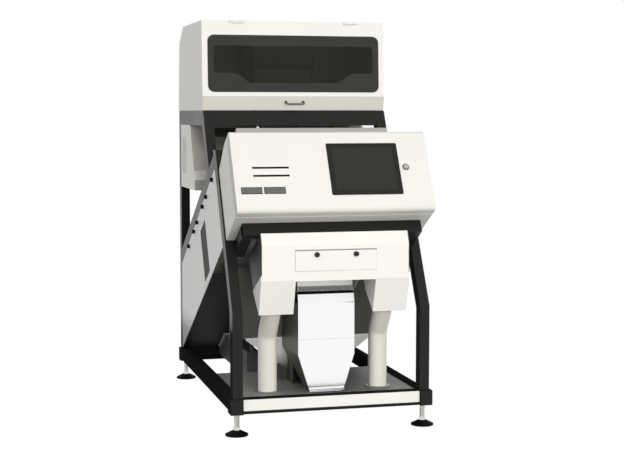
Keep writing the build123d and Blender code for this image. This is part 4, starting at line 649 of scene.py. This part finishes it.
# painted shadow: a thin grey strip around the access plate, widest at its top edge, where the plate casts a
# shadow line
gasket = {"top": 5.0, "side": 1.1, "thick": 1.2, "corner": 0.2}
low, high = boxOf("access_plate")
left = low[0] - gasket["side"]
right = high[0] + gasket["side"]
strips = [((left, high[2]), (right, high[2] + gasket["top"])),
          ((left, low[2] - gasket["side"]), (right, low[2])),
          ((left, low[2]), (low[0], high[2])),
          ((high[0], low[2]), (right, high[2]))]
bm = bmesh.new()
for (lowX, lowZ), (highX, highZ) in strips:
    addSlab(bm, (lowX, high[1] - gasket["thick"], lowZ), (highX, high[1], highZ), gasket["corner"])
gasketFoam = moulded("grey foam gasket", "#A09991", 0.7, depth=0.2, level=0.2)
finishPiece("access_plate_gasket", bm, "frame", "foot_rubber", gasketFoam)


def goOn(bm, face, way):  # pushes the end of a bar straight on, in mm
    grown = bmesh.ops.extrude_face_region(bm, geom=[face])["geom"]
    last = [part for part in grown if isinstance(part, bmesh.types.BMFace)][0]
    bmesh.ops.translate(bm, verts=last.verts, vec=way * mm)
    return last


def bendOn(bm, face, centre, axis, steps):  # bends the end of a bar by a right angle
    bent = bmesh.ops.spin(bm, geom=[face], cent=centre * mm, axis=axis, angle=math.radians(90), steps=steps,
                          use_merge=False)
    return [part for part in bent["geom_last"] if isinstance(part, bmesh.types.BMFace)][0]


# bow handle of the hood: a round bar bent down from its two feet, which have small rosettes
bow = {"half": 38, "bar": 3.6, "around": 16, "bend": 9, "bendSteps": 8, "footHeight": 1290, "drop": 8,
       "front": -0.8, "rosette": 7, "rosetteThick": 2, "rosetteTip": 0.8}
strip = {"lowY": 30, "lowZ": 1255, "highY": 22, "highZ": 1315}  # edges of the hood's strip that carries it
stripShare = (bow["footHeight"] - strip["lowZ"]) / (strip["highZ"] - strip["lowZ"])
footY = strip["lowY"] + (strip["highY"] - strip["lowY"]) * stripShare
leftFoot = Vector((-bow["half"], footY, bow["footHeight"]))
rightFoot = Vector((bow["half"], footY, bow["footHeight"]))
leg = Vector((0, bow["front"] - footY, -bow["drop"]))
legWay = leg.normalized()
straight = legWay * (leg.length - bow["bend"])
across = Vector((1, 0, 0))
bendAxis = legWay.cross(across)
alongLeg = legWay.to_track_quat("Z", "X").to_matrix().to_4x4()
bm = bmesh.new()
bmesh.ops.create_circle(bm, cap_ends=True, segments=bow["around"], radius=bow["bar"] * mm,
                        matrix=Matrix.Translation(leftFoot * mm) @ alongLeg)
end = bm.faces[:][0]
end = goOn(bm, end, straight)
end = bendOn(bm, end, leftFoot + straight + across * bow["bend"], bendAxis, bow["bendSteps"])
end = goOn(bm, end, across * (2 * bow["half"] - 2 * bow["bend"]))
end = bendOn(bm, end, rightFoot + straight - across * bow["bend"], bendAxis, bow["bendSteps"])
goOn(bm, end, -straight)
for foot in (leftFoot, rightFoot):
    addRod(bm, 0, bow["rosetteThick"], bow["rosette"], Matrix.Translation(foot * mm) @ alongLeg,
           tip=bow["rosetteTip"] * bow["rosette"])
bowSteel = brushedSteel("dark nickel plated bar", "#8C867C", 0.36, alongX, lineMm=1.0)
handle = finishPiece("hood_bow_handle", bm, "hood_cover", "aluminium", bowSteel)
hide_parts("hood_handle")

# small screws that hold the rear panel
panelScrew = {"inset": 14, "radius": 5, "height": 3, "socket": 2.25, "columns": 4}
low, high = boxOf("rear_panel")
step = (high[0] - low[0] - 2 * panelScrew["inset"]) / (panelScrew["columns"] - 1)
bm = bmesh.new()
for column in range(panelScrew["columns"]):
    x = low[0] + panelScrew["inset"] + step * column
    for z in (low[2] + panelScrew["inset"], high[2] - panelScrew["inset"]):
        seat = Matrix.Translation((x * mm, high[1] * mm, z * mm)) @ Matrix.Rotation(math.radians(-90), 4, "X")
        addCapScrew(bm, seat, panelScrew["radius"], panelScrew["height"], panelScrew["socket"])
finishPiece("rear_panel_screws", bm, "frame", "dark_bolts")
print("small hardware placed")

# camera of the photograph
view = {"place": (-1.4120, -5.79635, 1.2436), "turn": 14.35, "down": 4.76, "focalPixels": 1393.4,
        "pictureWidth": 624, "sensorMm": 36, "farthest": 100}
camera = bpy.data.objects.new("camera", bpy.data.cameras.new("camera"))
scene.collection.objects.link(camera)
camera.location = view["place"]
camera.rotation_euler = (math.radians(90 - view["down"]), 0, -math.radians(view["turn"]))
camera.data.sensor_width = view["sensorMm"]
camera.data.lens = view["focalPixels"] / view["pictureWidth"] * view["sensorMm"]
camera.data.clip_end = view["farthest"]
scene.camera = camera

# white studio: soft light from the front, a white surround in reflections, a floor that keeps a faint shadow
studio = {"fill": 0.56, "aim": (0, 0, 0.8), "floorSize": 40, "floorGlow": 0.90, "glow": 1.10}
lamps = {
    "front softbox": {"watts": 690, "place": (0.6, -9.0, 1.1), "size": 5.0},
    "left softbox": {"watts": 38, "place": (-5.6, -2.4, 1.6), "size": 3.0},
}
world = bpy.data.worlds.new("white studio")
world.use_nodes = True
scene.world = world


def seenDirectly(tree):  # 1 for camera, glossy and transmission rays
    ray = addNode(tree, "LightPath").outputs
    seen = addNode(tree, "Math", links={0: ray["Is Camera Ray"], 1: ray["Is Glossy Ray"]},
                   operation="MAXIMUM")
    either = addNode(tree, "Math", links={0: seen.outputs["Value"], 1: ray["Is Transmission Ray"]},
                     operation="MAXIMUM")
    return either.outputs["Value"]


tree = world.node_tree
level = addNode(tree, "MapRange", {"To Min": studio["fill"], "To Max": 1.0}, {"Value": seenDirectly(tree)})
tree.links.new(level.outputs["Result"], tree.nodes["Background"].inputs["Strength"])
tree.nodes["Background"].inputs["Color"].default_value = linear("#FFFFFF")

for name, values in lamps.items():
    lamp = bpy.data.objects.new(name, bpy.data.lights.new(name, "AREA"))
    lamp.data.energy = values["watts"]
    lamp.data.size = values["size"]
    lamp.location = values["place"]
    lamp.rotation_euler = (Vector(studio["aim"]) - lamp.location).to_track_quat("-Z", "Y").to_euler()
    lamp.visible_glossy = False
    scene.collection.objects.link(lamp)

bm = bmesh.new()
bmesh.ops.create_grid(bm, x_segments=1, y_segments=1, size=studio["floorSize"])
floorMesh = bpy.data.meshes.new("studio floor")
bm.to_mesh(floorMesh)
bm.free()
floor = bpy.data.objects.new("studio_floor", floorMesh)
scene.collection.objects.link(floor)
floor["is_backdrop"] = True
# pale studio floor: matt paint that shows white and only takes a little of the object's shadow
floorPaint = bpy.data.materials.new("pale studio floor")
floorPaint.use_nodes = True
tree = floorPaint.node_tree
paint = tree.nodes["Principled BSDF"]
paint.inputs["Base Color"].default_value = linear("#62625F")
paint.inputs["Roughness"].default_value = 0.9
glow = addNode(tree, "Emission", {"Color": linear("#FFFFFF"), "Strength": studio["glow"]})
share = addNode(tree, "Math", {1: studio["floorGlow"]}, {0: seenDirectly(tree)}, operation="MULTIPLY")
mix = addNode(tree, "MixShader", links={"Fac": share.outputs["Value"], 1: paint.outputs["BSDF"],
                                        2: glow.outputs["Emission"]})
tree.links.new(mix.outputs["Shader"], tree.nodes["Material Output"].inputs["Surface"])
floorMesh.materials.append(floorPaint)
print("studio set")

low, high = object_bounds()
